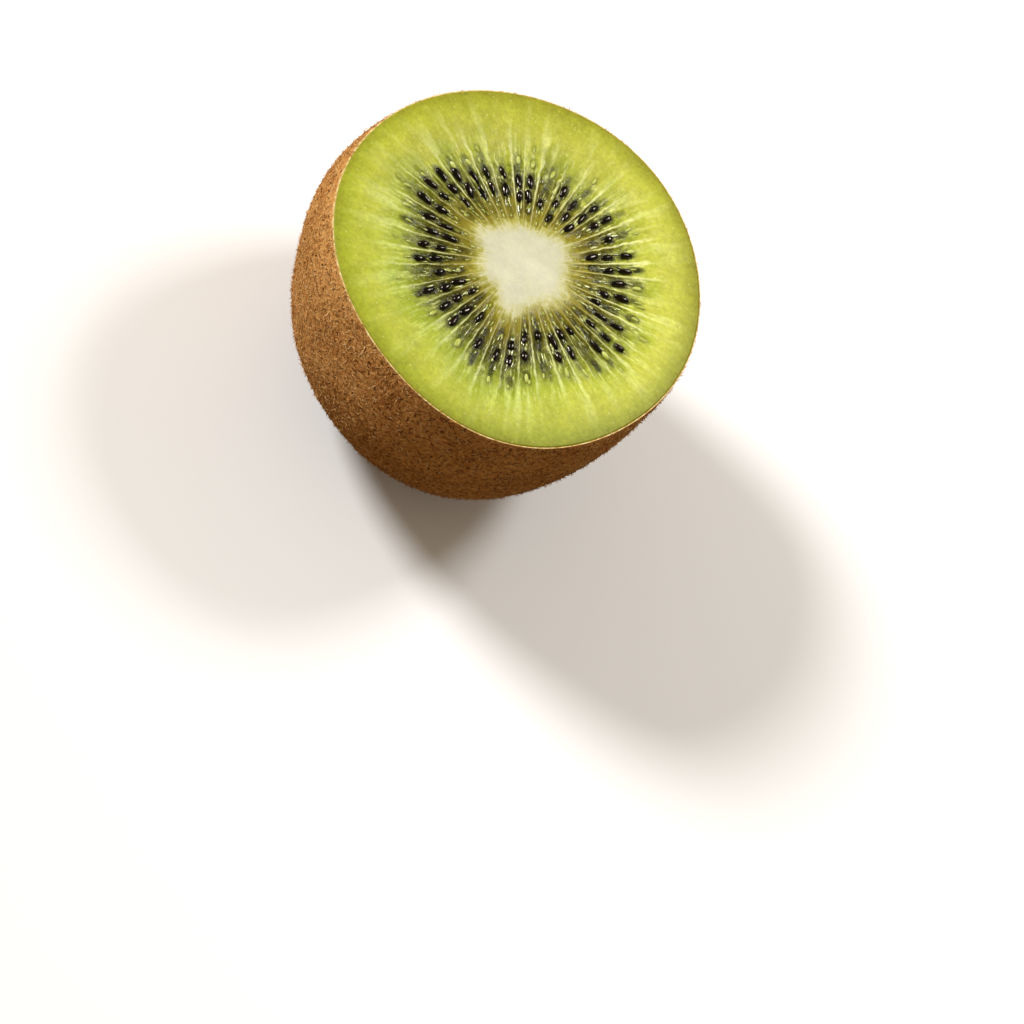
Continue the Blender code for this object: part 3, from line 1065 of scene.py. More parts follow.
flesh_net = build_flesh_net()
print("flesh net:", len(flesh_net.vertices), "points,", len(flesh_net.polygons), "faces")

# %% [markdown]
# ## Form of the flesh
# The knife leaves a surface that isn't flat. The soft seed chambers sink, the tougher rays stand
# up between them, and the juice cells swell a little. The form follows a rule, so Geometry
# Nodes raise and lower the net by it, and every height is a named input of the tree.

# %% Form of the flesh
def start_tree(name, sizes):
    """A tree with a geometry input and output, and a named number input for each size."""
    tree = bpy.data.node_groups.new(name, "GeometryNodeTree")
    tree.interface.new_socket("Geometry", in_out="INPUT", socket_type="NodeSocketGeometry")
    tree.interface.new_socket("Geometry", in_out="OUTPUT", socket_type="NodeSocketGeometry")
    for size, value in sizes.items():
        kind = {bool: "Bool", int: "Int", float: "Float"}.get(type(value), "Object")
        if isinstance(value, bpy.types.Collection):
            kind = "Collection"
        if isinstance(value, bpy.types.Material):
            kind = "Material"
        tree.interface.new_socket(size, in_out="INPUT", socket_type=f"NodeSocket{kind}")
    return tree, add(tree, "NodeGroupInput").outputs


def grow(name, mesh, tree, sizes):
    """Runs a tree on a mesh and returns the result as a plain mesh object."""
    base = bpy.data.objects.new(name + "_base", mesh)
    bpy.context.scene.collection.objects.link(base)
    modifier = base.modifiers.new(tree.name, "NODES")
    modifier.node_group = tree
    sockets = {item.name: item.identifier for item in tree.interface.items_tree if item.in_out == "INPUT"}
    for size, value in sizes.items():
        modifier[sockets[size]] = value
    graph = bpy.context.evaluated_depsgraph_get()
    result = bpy.data.meshes.new_from_object(base.evaluated_get(graph), depsgraph=graph)
    result.name = name
    bpy.data.objects.remove(base)
    piece = bpy.data.objects.new(name, result)
    bpy.context.scene.collection.objects.link(piece)
    triangles = sum(len(face.vertices) - 2 for face in result.polygons)
    print(name + ":", triangles, "triangles")
    return piece


FLESH_SIZES = {
    "Seed ring sag": SEED_RING_SAG * MM,
    "Ray rise": RAY_RISE * MM,
    "Ray width": 0.3,
    "Swell height": 0.12 * MM,
    "Swell size": 3.0 * MM,
    "Cell height": 0.07 * MM,
    "Cell size": 0.75 * MM,
    "Finish": flesh_finish,
}


def build_flesh_tree():
    tree, size = start_tree("rays and chambers", FLESH_SIZES)
    read = {
        name: add(tree, "GeometryNodeInputNamedAttribute", {"Name": name}, data_type="FLOAT")
        for name in ("ray_gap", "dip", "on_cut")
    }
    ratio = add(tree, "ShaderNodeMath", [read["ray_gap"], size["Ray width"]], operation="DIVIDE")
    squared = add(tree, "ShaderNodeMath", [ratio, ratio], operation="MULTIPLY")
    falling = add(tree, "ShaderNodeMath", [squared, -1.0], operation="MULTIPLY")
    ridge = add(tree, "ShaderNodeMath", [falling], operation="EXPONENT")
    raised = add(tree, "ShaderNodeMath", [ridge, size["Ray rise"]], operation="MULTIPLY")
    level = add(tree, "ShaderNodeMath", [raised, size["Seed ring sag"]], operation="SUBTRACT")
    chambers = add(tree, "ShaderNodeMath", [level, read["dip"]], operation="MULTIPLY")

    place = add(tree, "GeometryNodeInputPosition")
    swell_scale = add(tree, "ShaderNodeMath", [1.0, size["Swell size"]], operation="DIVIDE")
    swell = add(tree, "ShaderNodeTexNoise", {"Vector": place, "Scale": swell_scale, "Detail": 3.0})
    swell_level = add(tree, "ShaderNodeMath", [swell, -0.5], operation="ADD")
    swelling = add(tree, "ShaderNodeMath", [swell_level, size["Swell height"]], operation="MULTIPLY")
    cell_scale = add(tree, "ShaderNodeMath", [1.0, size["Cell size"]], operation="DIVIDE")
    cells = add(tree, "ShaderNodeTexVoronoi", {"Vector": place, "Scale": cell_scale}, feature="SMOOTH_F1")
    cell_level = add(tree, "ShaderNodeMath", [0.5, cells], operation="SUBTRACT")
    cell_height = add(tree, "ShaderNodeMath", [cell_level, size["Cell height"]], operation="MULTIPLY")
    wet_part = add(tree, "ShaderNodeMapRange", {"Value": read["dip"], "To Min": 0.5, "To Max": 1.6})
    cell_part = add(tree, "ShaderNodeMath", [cell_height, wet_part], operation="MULTIPLY")
    fine = add(tree, "ShaderNodeMath", [swelling, cell_part], operation="ADD")
    height = add(tree, "ShaderNodeMath", [fine, read["on_cut"], chambers], operation="MULTIPLY_ADD")
    offset = add(tree, "ShaderNodeCombineXYZ", {"Z": height})
    moved = add(tree, "GeometryNodeSetPosition", {"Geometry": size["Geometry"], "Offset": offset})
    smooth = add(tree, "GeometryNodeSetShadeSmooth", {"Geometry": moved, "Shade Smooth": True})
    real = add(tree, "GeometryNodeRealizeInstances", [smooth])
    finished = add(tree, "GeometryNodeSetMaterial", {"Geometry": real, "Material": size["Finish"]})
    add(tree, "NodeGroupOutput", [finished])
    return tree


cut_flesh = grow("cut_flesh", flesh_net, build_flesh_tree(), FLESH_SIZES)

# %% [markdown]
# ## Finish of the seeds
# A ripe seed has a smooth hard coat, near black with a touch of purple brown, and it is wet.
# It needs little colour and a sharp gloss, with faint pits that break the gloss up.

# %% Finish of the seeds
def make_seed_finish():
    """Wet seed coat: near black with brown, sharp gloss."""
    material, t, shader = start_material("wet_black_seed_coat", "#1C1512")
    mm = place_in_mm(t)
    tint = add(t, "ShaderNodeTexNoise", {"Vector": mm, "Scale": 0.7, "Detail": 2.0})
    colour = add(
        t,
        "ShaderNodeValToRGB",
        [tint],
        stops=((0.35, "#050201"), (0.55, "#0A0402"), (0.7, "#180B06")),
    )
    t.links.new(colour.outputs["Color"], shader.inputs["Base Color"])
    pits = add(t, "ShaderNodeTexVoronoi", {"Vector": mm, "Scale": 6.0})
    bump = add(t, "ShaderNodeBump", {"Strength": 0.25, "Distance": 0.05 * MM, "Height": pits})
    t.links.new(bump.outputs["Normal"], shader.inputs["Normal"])
    set_sockets(shader, Roughness=0.15, IOR=1.5, Specular_IOR_Level=0.65)
    shader.inputs["Specular Tint"].default_value = linear_colour("#FFF2E0")
    return material


seed_finish = make_seed_finish()

# %% [markdown]
# ## Seeds
# A seed is a flattened drop with its narrow end towards the core. All seeds have one form, so the
# tree puts a copy of it on each point and turns and stretches it by what the point stores.

# %% Seeds
SEED_TAPER = 0.3
SEED_SIDES, SEED_BANDS = 18, 12


def drop_mesh(name, sides, bands, taper):
    """A ball of radius 1 with poles on X, narrower towards -X, as a closed mesh."""
    points = [(-1.0, 0.0, 0.0)]
    for band in range(1, bands):
        x = -math.cos(math.pi * band / bands)
        around = math.sin(math.pi * band / bands) * (1.0 - taper * (1.0 - x) / 2)
        for side in range(sides):
            turn = 2 * math.pi * side / sides
            points.append((x, around * math.cos(turn), around * math.sin(turn)))
    points.append((1.0, 0.0, 0.0))
    rings = [[1 + band * sides + side for side in range(sides)] for band in range(bands - 1)]
    faces = [(0, rings[0][(i + 1) % sides], rings[0][i]) for i in range(sides)]
    for lower, upper in zip(rings, rings[1:]):
        faces += ring_faces(lower, upper)
    faces += [(len(points) - 1, rings[-1][i], rings[-1][(i + 1) % sides]) for i in range(sides)]
    mesh = bpy.data.meshes.new(name)
    mesh.from_pydata(points, [], faces)
    return mesh


def point_cloud(name, places):
    """A mesh of loose points that store how the copy on each is turned and stretched."""
    mesh = bpy.data.meshes.new(name)
    turns = [math.radians(p["angle"]) for p in places]
    points = [
        (p["radius"] * math.cos(a) * MM, p["radius"] * math.sin(a) * MM, p["height"] * MM)
        for p, a in zip(places, turns)
    ]
    mesh.from_pydata(points, [], [])
    turned = mesh.attributes.new("turned", "FLOAT_VECTOR", "POINT")
    euler = [math.radians(v) for p in places for v in (0.0, p["tip"], p["turn"])]
    turned.data.foreach_set("vector", euler)
    stretched = mesh.attributes.new("stretched", "FLOAT_VECTOR", "POINT")
    stretched.data.foreach_set("vector", [v * MM / 2 for p in places for v in p["size"]])
    return mesh


def build_scatter_tree(name, sizes):
    """Puts a copy of one form on each point, turned and stretched by what the point stores."""
    tree, size = start_tree(name, sizes)
    form = add(tree, "GeometryNodeObjectInfo", {"Object": size["Form"]})
    turned = add(tree, "GeometryNodeInputNamedAttribute", {"Name": "turned"}, data_type="FLOAT_VECTOR")
    stretched = add(
        tree,
        "GeometryNodeInputNamedAttribute",
        {"Name": "stretched"},
        data_type="FLOAT_VECTOR",
    )
    rotation = add(tree, "FunctionNodeEulerToRotation", [turned])
    points = add(tree, "GeometryNodeMeshToPoints", [size["Geometry"]])
    copies = add(
        tree,
        "GeometryNodeInstanceOnPoints",
        {
            "Points": points,
            "Instance": form.outputs["Geometry"],
            "Rotation": rotation,
            "Scale": stretched,
        },
    )
    real = add(tree, "GeometryNodeRealizeInstances", [copies])
    smooth = add(tree, "GeometryNodeSetShadeSmooth", {"Geometry": real, "Shade Smooth": True})
    finished = add(tree, "GeometryNodeSetMaterial", {"Geometry": smooth, "Material": size["Finish"]})
    add(tree, "NodeGroupOutput", [finished])
    return tree


def scatter(name, places, form_mesh, finish):
    """One piece of many copies of a form."""
    form = bpy.data.objects.new(name + "_form", form_mesh)
    bpy.context.scene.collection.objects.link(form)
    sizes = {"Form": form, "Finish": finish}
    piece = grow(name, point_cloud(name + "_points", places), build_scatter_tree(name, sizes), sizes)
    bpy.data.objects.remove(form)
    return piece


seeds = scatter("seeds", SEEDS, drop_mesh("seed", SEED_SIDES, SEED_BANDS, SEED_TAPER), seed_finish)

# %% [markdown]
# ## Undeveloped seeds and juice
# On both sides of the ripe seeds lie seeds that never grew: small pale yellow drops. Where the
# knife opened the chambers, beads and streaks of juice stand on the flesh and catch the light.

# %% Undeveloped seeds and juice
JUICE_DRAW = 47
JUICE_BEADS_IN_CHAMBER = 9
JUICE_ACROSS = (0.18, 0.82)  # share of the way from one ray to the next
JUICE_FROM_CORE = (1.2, 9.0, 4.0)  # nearest, farthest and most likely
JUICE_BEAD_LENGTH = (0.3, 0.8)
JUICE_STREAK_LENGTH = (1.0, 2.2)
JUICE_WIDTH = (0.16, 0.34)
JUICE_THICKNESS = (0.14, 0.2)
JUICE_LIFT = (-0.03, 0.05)
JUICE_FILLS_SAG = 0.04
JUICE_TURN = 9.0
OVULE_SIDES, OVULE_BANDS, OVULE_TAPER = 8, 6, 0.2
BEAD_SIDES, BEAD_BANDS, BEAD_TAPER = 8, 5, 0.0


def make_ovule_finish():
    """Undeveloped seed: soft, pale yellow and wet."""
    material, t, shader = start_material("pale_undeveloped_seed", "#DCDA94")
    mm = place_in_mm(t)
    tint = add(t, "ShaderNodeTexNoise", {"Vector": mm, "Scale": 0.9, "Detail": 2.0})
    colour = add(
        t,
        "ShaderNodeValToRGB",
        [tint],
        stops=((0.35, "#A0A63C"), (0.55, "#BCC45F"), (0.7, "#D2D78C")),
    )
    t.links.new(colour.outputs["Color"], shader.inputs["Base Color"])
    set_sockets(shader, Roughness=0.3, IOR=1.4, Specular_IOR_Level=0.6)
    return material


ovule_finish = make_ovule_finish()
ovule_form = drop_mesh("ovule", OVULE_SIDES, OVULE_BANDS, OVULE_TAPER)
ovules = scatter("undeveloped_seeds", OVULES, ovule_form, ovule_finish)


def make_juice_finish():
    """Juice on flesh: clear, smooth and bright where it mirrors a lamp, tinted by what is under it."""
    material, t, shader = start_material("clear_green_juice", "#B4B45A")
    mm = place_in_mm(t)
    tint = add(t, "ShaderNodeTexNoise", {"Vector": mm, "Scale": 1.2, "Detail": 2.0})
    colour = add(
        t,
        "ShaderNodeValToRGB",
        [tint],
        stops=((0.35, "#50541A"), (0.5, "#8E923C"), (0.65, "#C6C97A")),
    )
    t.links.new(colour.outputs["Color"], shader.inputs["Base Color"])
    set_sockets(shader, Roughness=0.1, IOR=1.6, Specular_IOR_Level=1.0)
    return material


def juice_places():
    """The same for juice: round beads and long streaks, about as many of each."""
    draw = random.Random(JUICE_DRAW)
    places = []
    for ray, following in zip(RAYS, RAYS[1:]):
        for _ in range(JUICE_BEADS_IN_CHAMBER):
            angle = ray + (following - ray) * draw.uniform(*JUICE_ACROSS)
            radius = float(core_radius(angle)) + draw.triangular(*JUICE_FROM_CORE)
            lengths = (draw.uniform(*JUICE_BEAD_LENGTH), draw.uniform(*JUICE_STREAK_LENGTH))
            size = [draw.choice(lengths), draw.uniform(*JUICE_WIDTH), draw.uniform(*JUICE_THICKNESS)]
            sag = (SEED_RING_SAG - JUICE_FILLS_SAG) * float(dip(angle, radius))
            lift = draw.uniform(*JUICE_LIFT) - sag
            turn = angle + draw.uniform(-JUICE_TURN, JUICE_TURN)
            place = {"angle": angle, "radius": radius, "height": HEIGHT + lift}
            places.append(place | {"turn": turn, "tip": 0.0, "size": size})
    return places


bead_form = drop_mesh("bead", BEAD_SIDES, BEAD_BANDS, BEAD_TAPER)
juice = scatter("juice_beads", juice_places(), bead_form, make_juice_finish())

# %% [markdown]
# ## Finish of the skin
# The skin is a thin, dry, corky layer, brown like felt. Short fibres mat together on it and leave
# small slits between them, sunk in the bump and darkened with painted shade. At the cut, the knife
# shows the skin's pale inside as a thin line.

# %% Finish of the skin
def add_strokes(t, mm, per_mm, length, width):
    """Short strokes along the surface, one in each cell of a pattern, each lying its own way, as a
    value from 0 to 1. Their length and width are shares of a cell."""
    outward = add(t, "ShaderNodeAttribute", attribute_name="outward").outputs["Vector"]
    cells = add(t, "ShaderNodeTexVoronoi", {"Vector": mm, "Scale": per_mm})
    place = add(t, "ShaderNodeVectorMath", {"Vector": mm, "Scale": per_mm}, operation="SCALE")
    middle = add(
        t,
        "ShaderNodeVectorMath",
        {"Vector": cells.outputs["Position"], "Scale": per_mm},
        operation="SCALE",
    )
    apart = add(t, "ShaderNodeVectorMath", [place, middle], operation="SUBTRACT")
    drawn = add(
        t,
        "ShaderNodeVectorMath",
        [cells.outputs["Color"], (0.5, 0.5, 0.5)],
        operation="SUBTRACT",
    )
    way = add(t, "ShaderNodeVectorMath", [outward, drawn], operation="CROSS_PRODUCT")
    unit_way = add(t, "ShaderNodeVectorMath", [way], operation="NORMALIZE")
    cross_way = add(t, "ShaderNodeVectorMath", [outward, unit_way], operation="CROSS_PRODUCT")
    along = add(t, "ShaderNodeVectorMath", [apart, unit_way], operation="DOT_PRODUCT").outputs["Value"]
    aside = add(t, "ShaderNodeVectorMath", [apart, cross_way], operation="DOT_PRODUCT").outputs["Value"]
    long_share = add(t, "ShaderNodeMath", [along, length], operation="DIVIDE")
    wide_share = add(t, "ShaderNodeMath", [aside, width], operation="DIVIDE")
    both = add(t, "ShaderNodeCombineXYZ", [long_share, wide_share])
    far = add(t, "ShaderNodeVectorMath", [both], operation="LENGTH").outputs["Value"]
    stroke = add(
        t,
        "ShaderNodeMapRange",
        {"Value": far, "From Min": 0.55, "From Max": 1.1, "To Min": 1.0, "To Max": 0.0},
    )
    own = add(t, "ShaderNodeSeparateColor", [cells.outputs["Color"]])
    depth = add(
        t,
        "ShaderNodeMapRange",
        {"Value": own.outputs["Green"], "From Min": 0.25, "From Max": 0.85},
    )
    return add(t, "ShaderNodeMath", [stroke, depth], operation="MULTIPLY")


def make_skin_finish():
    """Dry corky skin: matt brown, painted shade in the slits between matted fibres, pale at the cut edge.
    """
    material, t, shader = start_material("dry_felted_skin", "#AC7A41")
    mm = place_in_mm(t)
    patches = add(t, "ShaderNodeTexNoise", {"Vector": mm, "Scale": 0.16, "Detail": 4.0})
    ground = add(
        t,
        "ShaderNodeValToRGB",
        [patches],
        stops=((0.3, "#B07233"), (0.5, "#C98B46"), (0.7, "#DA9F5A")),
    )
    felt = add(
        t,
        "ShaderNodeTexNoise",
        {"Vector": mm, "Scale": 2.2, "Detail": 4.0, "Roughness": 0.7, "Distortion": 0.6},
    )
    light = add(
        t,
        "ShaderNodeMapRange",
        {"Value": felt, "From Min": 0.48, "From Max": 0.66, "To Max": 0.8},
    )
    colour = add(
        t,
        "ShaderNodeMix",
        {"Factor": light, "A": ground, "B": linear_colour("#E8B46C")},
        data_type="RGBA",
    )
    dark = add(
        t,
        "ShaderNodeMapRange",
        {"Value": felt, "From Min": 0.47, "From Max": 0.34, "To Max": 0.9},
    )
    colour = add(
        t,
        "ShaderNodeMix",
        {"Factor": dark, "A": colour, "B": linear_colour("#6E3C14")},
        data_type="RGBA",
    )
    fibre = add_strokes(t, mm, 1.2, 0.66, 0.11)
    fibre_part = add(t, "ShaderNodeMath", [fibre, 0.9], operation="MULTIPLY")
    colour = add(
        t,
        "ShaderNodeMix",
        {"Factor": fibre_part, "A": colour, "B": linear_colour("#EDC383")},
        data_type="RGBA",
    )
    # Painted shade: dark strokes in the slits between matted fibres, where the bump also sinks them.
    slit_recess_and_shade = add_strokes(t, mm, 1.05, 0.5, 0.13)
    painted_slit_shade = add(t, "ShaderNodeMath", [slit_recess_and_shade, 0.9], operation="MULTIPLY")
    colour = add(
        t,
        "ShaderNodeMix",
        {"Factor": painted_slit_shade, "A": colour, "B": linear_colour("#5A2E10")},
        data_type="RGBA",
    )
    height = add(t, "ShaderNodeSeparateXYZ", [mm]).outputs["Z"]
    frayed = add(t, "ShaderNodeTexNoise", {"Vector": mm, "Scale": 1.5, "Detail": 3.0})
    edge_height = add(t, "ShaderNodeMath", [frayed, 0.25, height], operation="MULTIPLY_ADD")
    edge = add(
        t,
        "ShaderNodeMapRange",
        {"Value": edge_height, "From Min": HEIGHT - 0.06, "From Max": HEIGHT + 0.08},
    )
    edge_tone = add(
        t,
        "ShaderNodeValToRGB",
        [frayed],
        stops=((0.3, "#B08844"), (0.5, "#E0BC76"), (0.68, "#F3DBA2")),
    )
    colour = add(t, "ShaderNodeMix", {"Factor": edge, "A": colour, "B": edge_tone}, data_type="RGBA")
    t.links.new(first_output(colour), shader.inputs["Base Color"])
    raised = add(t, "ShaderNodeMath", [fibre, 0.4, felt], operation="MULTIPLY_ADD")
    rough = add(t, "ShaderNodeMath", [slit_recess_and_shade, -0.6, raised], operation="MULTIPLY_ADD")
    bump = add(t, "ShaderNodeBump", {"Strength": 0.8, "Distance": 0.2 * MM, "Height": rough})
    t.links.new(bump.outputs["Normal"], shader.inputs["Normal"])
    set_sockets(shader, Roughness=0.8, IOR=1.45, Specular_IOR_Level=0.25)
    return material


skin_finish = make_skin_finish()

# %% [markdown]
# ## Form of the skin
# The skin follows a rule: the outline of the cut, drawn in or let out with the girth at each
# depth. The tree starts from a plain closed tube. Its lower rows become the outside, from the flat
# spot up to the rim, and its upper rows fold over the rim and go down again as the inside. The
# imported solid's own mesh would be quicker, but its triangles are too coarse for the felt.

# %% Form of the skin
SKIN_COLUMNS = 560
ROWS_OUTSIDE = 158
ROWS_INSIDE = 10
HUMP_PEAK = 4.0 / 27.0  # highest value of share * (1 - share) squared, which shapes the shoulder


def skin_turn(depth):
    """The superellipse's own angle at a depth below the cut."""
    along = (depth - WIDEST_BELOW_CUT) / (FULL_DEPTH - WIDEST_BELOW_CUT)
    return math.copysign(math.asin(abs(along) ** (PROFILE_POWER / 2)), along)


SKIN_SIZES = {
    "Columns": SKIN_COLUMNS,
    "Rows outside": ROWS_OUTSIDE,
    "Rows inside": ROWS_INSIDE,
    "Half width X": CUT_HALF_X * MM,
    "Half width Y": CUT_HALF_Y * MM,
    "Height": HEIGHT * MM,
    "Widest below cut": WIDEST_BELOW_CUT * MM,
    "Full depth": FULL_DEPTH * MM,
    "Power": PROFILE_POWER,
    "Turn at the rim": skin_turn(0.0),
    "Turn at the flat spot": skin_turn(HEIGHT),
    "Shoulder": SHOULDER * MM,
    "Shoulder direction": math.radians(SHOULDER_DIRECTION),
    "Shoulder width": math.radians(SHOULDER_WIDTH),
    "Shoulder depth": SHOULDER_DEPTH * MM,
    "Thickness": SKIN_THICKNESS * MM,
    "Lump height": 0.22 * MM,
    "Lump size": 6.0 * MM,
    "Felt height": 0.14 * MM,
    "Felt size": 0.9 * MM,
    "Finish": skin_finish,
}


def build_skin_tree():
    tree, size = start_tree("skin of the fruit", SKIN_SIZES)
    rows = add(tree, "ShaderNodeMath", [size["Rows outside"], size["Rows inside"]], operation="ADD")
    rows_and_rim = add(tree, "ShaderNodeMath", [rows, 1.0], operation="ADD")
    tube = add(
        tree,
        "GeometryNodeMeshCylinder",
        {"Vertices": size["Columns"], "Side Segments": rows_and_rim, "Radius": 1.0, "Depth": 1.0},
        fill_type="NGON",
    )
    place = add(tree, "GeometryNodeInputPosition")
    axes = add(tree, "ShaderNodeSeparateXYZ", [place])
    angle = add(tree, "ShaderNodeMath", [axes.outputs["Y"], axes.outputs["X"]], operation="ARCTAN2")

    # Row number, share of the outside and share of the inside
    above_floor = add(tree, "ShaderNodeMath", [axes.outputs["Z"], 0.5], operation="ADD")
    row_exact = add(tree, "ShaderNodeMath", [above_floor, rows_and_rim], operation="MULTIPLY")
    row = add(tree, "ShaderNodeMath", [row_exact], operation="ROUND")
    outside = add(tree, "ShaderNodeMath", [row, size["Rows outside"]], operation="DIVIDE", use_clamp=True)
    past_rim = add(tree, "ShaderNodeMath", [row, size["Rows outside"]], operation="SUBTRACT")
    past_fold = add(tree, "ShaderNodeMath", [past_rim, 1.0], operation="SUBTRACT")
    inside = add(
        tree,
        "ShaderNodeMath",
        [past_fold, size["Rows inside"]],
        operation="DIVIDE",
        use_clamp=True,
    )
    folded = add(tree, "ShaderNodeMath", [past_rim, 0.5], operation="GREATER_THAN")
    up = add(tree, "ShaderNodeMath", [outside, inside], operation="SUBTRACT")
    turn = add(
        tree,
        "ShaderNodeMapRange",
        {"Value": up, "To Min": size["Turn at the flat spot"], "To Max": size["Turn at the rim"]},
    )

    # Superellipse: depth below the cut and girth
    inverse = add(tree, "ShaderNodeMath", [2.0, size["Power"]], operation="DIVIDE")
    sine = add(tree, "ShaderNodeMath", [turn], operation="SINE")
    way = add(tree, "ShaderNodeMath", [sine], operation="SIGN")
    sine_size = add(tree, "ShaderNodeMath", [sine], operation="ABSOLUTE")
    fuller = add(tree, "ShaderNodeMath", [sine_size, inverse], operation="POWER")
    signed = add(tree, "ShaderNodeMath", [fuller, way], operation="MULTIPLY")
    below = add(
        tree,
        "ShaderNodeMath",
        [size["Full depth"], size["Widest below cut"]],
        operation="SUBTRACT",
    )
    depth = add(
        tree,
        "ShaderNodeMath",
        [signed, below, size["Widest below cut"]],
        operation="MULTIPLY_ADD",
    )
    cosine = add(tree, "ShaderNodeMath", [turn], operation="COSINE")
    rim_cosine = add(tree, "ShaderNodeMath", [size["Turn at the rim"]], operation="COSINE")
    cosines = add(tree, "ShaderNodeMath", [cosine, rim_cosine], operation="DIVIDE")
    girth_here = add(tree, "ShaderNodeMath", [cosines, inverse], operation="POWER")

    def fade_beside(direction, width):
        """1 in a direction and fading out softly to both sides of it, both in radians."""
        aside = add(tree, "ShaderNodeMath", [angle, direction], operation="SUBTRACT")
        wrapped = add(tree, "ShaderNodeMath", [aside, math.pi, -math.pi], operation="WRAP")
        widths = add(tree, "ShaderNodeMath", [wrapped, width], operation="DIVIDE")
        squared = add(tree, "ShaderNodeMath", [widths, widths], operation="MULTIPLY")
        fading = add(tree, "ShaderNodeMath", [squared, -1.0], operation="MULTIPLY")
        return add(tree, "ShaderNodeMath", [fading], operation="EXPONENT")

    # Outline of the cut: ellipse, lobes and bulges
    along_x = add(tree, "ShaderNodeMath", [axes.outputs["X"], size["Half width X"]], operation="DIVIDE")
    along_y = add(tree, "ShaderNodeMath", [axes.outputs["Y"], size["Half width Y"]], operation="DIVIDE")
    spoke = add(tree, "ShaderNodeCombineXYZ", [along_x, along_y])
    spoke_length = add(tree, "ShaderNodeVectorMath", [spoke], operation="LENGTH").outputs["Value"]
    ellipse = add(tree, "ShaderNodeMath", [1.0, spoke_length], operation="DIVIDE")
    waves = 1.0
    for count, share, start in LOBES:
        first_crest = -math.radians(count * start)
        counted = add(tree, "ShaderNodeMath", [angle, count, first_crest], operation="MULTIPLY_ADD")
        wave = add(tree, "ShaderNodeMath", [counted], operation="COSINE")
        waves = add(tree, "ShaderNodeMath", [wave, share, waves], operation="MULTIPLY_ADD")
    outline = add(tree, "ShaderNodeMath", [ellipse, waves], operation="MULTIPLY")
    for middle, bulge, wide in CUT_BULGES:
        here = fade_beside(math.radians(middle), math.radians(wide))
        outline = add(tree, "ShaderNodeMath", [here, bulge * MM, outline], operation="MULTIPLY_ADD")
    plain = add(tree, "ShaderNodeMath", [outline, girth_here], operation="MULTIPLY")

    # Shoulder: a swelling on one side
    beside = fade_beside(size["Shoulder direction"], size["Shoulder width"])
    sunk = add(
        tree,
        "ShaderNodeMath",
        [depth, size["Shoulder depth"]],
        operation="DIVIDE",
        use_clamp=True,
    )
    rest = add(tree, "ShaderNodeMath", [1.0, sunk], operation="SUBTRACT")
    rest_squared = add(tree, "ShaderNodeMath", [rest, rest], operation="MULTIPLY")
    hump = add(tree, "ShaderNodeMath", [sunk, rest_squared], operation="MULTIPLY")
    full_hump = add(tree, "ShaderNodeMath", [hump, HUMP_PEAK], operation="DIVIDE")
    swelling = add(tree, "ShaderNodeMath", [full_hump, beside], operation="MULTIPLY")
    radius = add(tree, "ShaderNodeMath", [swelling, size["Shoulder"], plain], operation="MULTIPLY_ADD")

    # The inside lies one thickness further in
    inset = add(tree, "ShaderNodeMath", [folded, size["Thickness"]], operation="MULTIPLY")
    radius_here = add(tree, "ShaderNodeMath", [radius, inset], operation="SUBTRACT")
    lifted = add(tree, "ShaderNodeMath", [inside, size["Thickness"]], operation="MULTIPLY")
    height = add(tree, "ShaderNodeMath", [size["Height"], depth], operation="SUBTRACT")
    height_here = add(tree, "ShaderNodeMath", [height, lifted], operation="ADD")
    x = add(tree, "ShaderNodeMath", [axes.outputs["X"], radius_here], operation="MULTIPLY")
    y = add(tree, "ShaderNodeMath", [axes.outputs["Y"], radius_here], operation="MULTIPLY")
    goal = add(tree, "ShaderNodeCombineXYZ", [x, y, height_here])
    outer_share = add(tree, "ShaderNodeMath", [outside, folded], operation="SUBTRACT")
    kept_share = add(
        tree,
        "GeometryNodeStoreNamedAttribute",
        {"Geometry": tube, "Name": "outside", "Value": outer_share},
        data_type="FLOAT",
        domain="POINT",
    )
    formed = add(tree, "GeometryNodeSetPosition", {"Geometry": kept_share, "Position": goal})

    # Relief of the outside, which fades out at the rim and at the flat spot
    share = add(tree, "GeometryNodeInputNamedAttribute", {"Name": "outside"}, data_type="FLOAT")
    low_fade = add(tree, "ShaderNodeMapRange", {"Value": share, "From Min": 0.01, "From Max": 0.05})
    high_fade = add(tree, "ShaderNodeMapRange", {"Value": share, "From Min": 1.0, "From Max": 0.985})
    fade = add(tree, "ShaderNodeMath", [low_fade, high_fade], operation="MULTIPLY")
    spot = add(tree, "GeometryNodeInputPosition")
    lump_scale = add(tree, "ShaderNodeMath", [1.0, size["Lump size"]], operation="DIVIDE")
    lumps = add(tree, "ShaderNodeTexNoise", {"Vector": spot, "Scale": lump_scale, "Detail": 2.0})
    lump_level = add(tree, "ShaderNodeMath", [lumps, -0.5], operation="ADD")
    lump = add(tree, "ShaderNodeMath", [lump_level, size["Lump height"]], operation="MULTIPLY")
    felt_scale = add(tree, "ShaderNodeMath", [1.0, size["Felt size"]], operation="DIVIDE")
    felt = add(
        tree,
        "ShaderNodeTexNoise",
        {"Vector": spot, "Scale": felt_scale, "Detail": 3.0, "Roughness": 0.65},
    )
    felt_level = add(tree, "ShaderNodeMath", [felt, -0.55], operation="ADD")
    relief = add(
        tree,
        "ShaderNodeMath",
        [felt_level, size["Felt height"], lump],
        operation="MULTIPLY_ADD",
    )
    faded = add(tree, "ShaderNodeMath", [relief, fade], operation="MULTIPLY")
    normal = add(tree, "GeometryNodeInputNormal")
    push = add(tree, "ShaderNodeVectorMath", {"Vector": normal, "Scale": faded}, operation="SCALE")
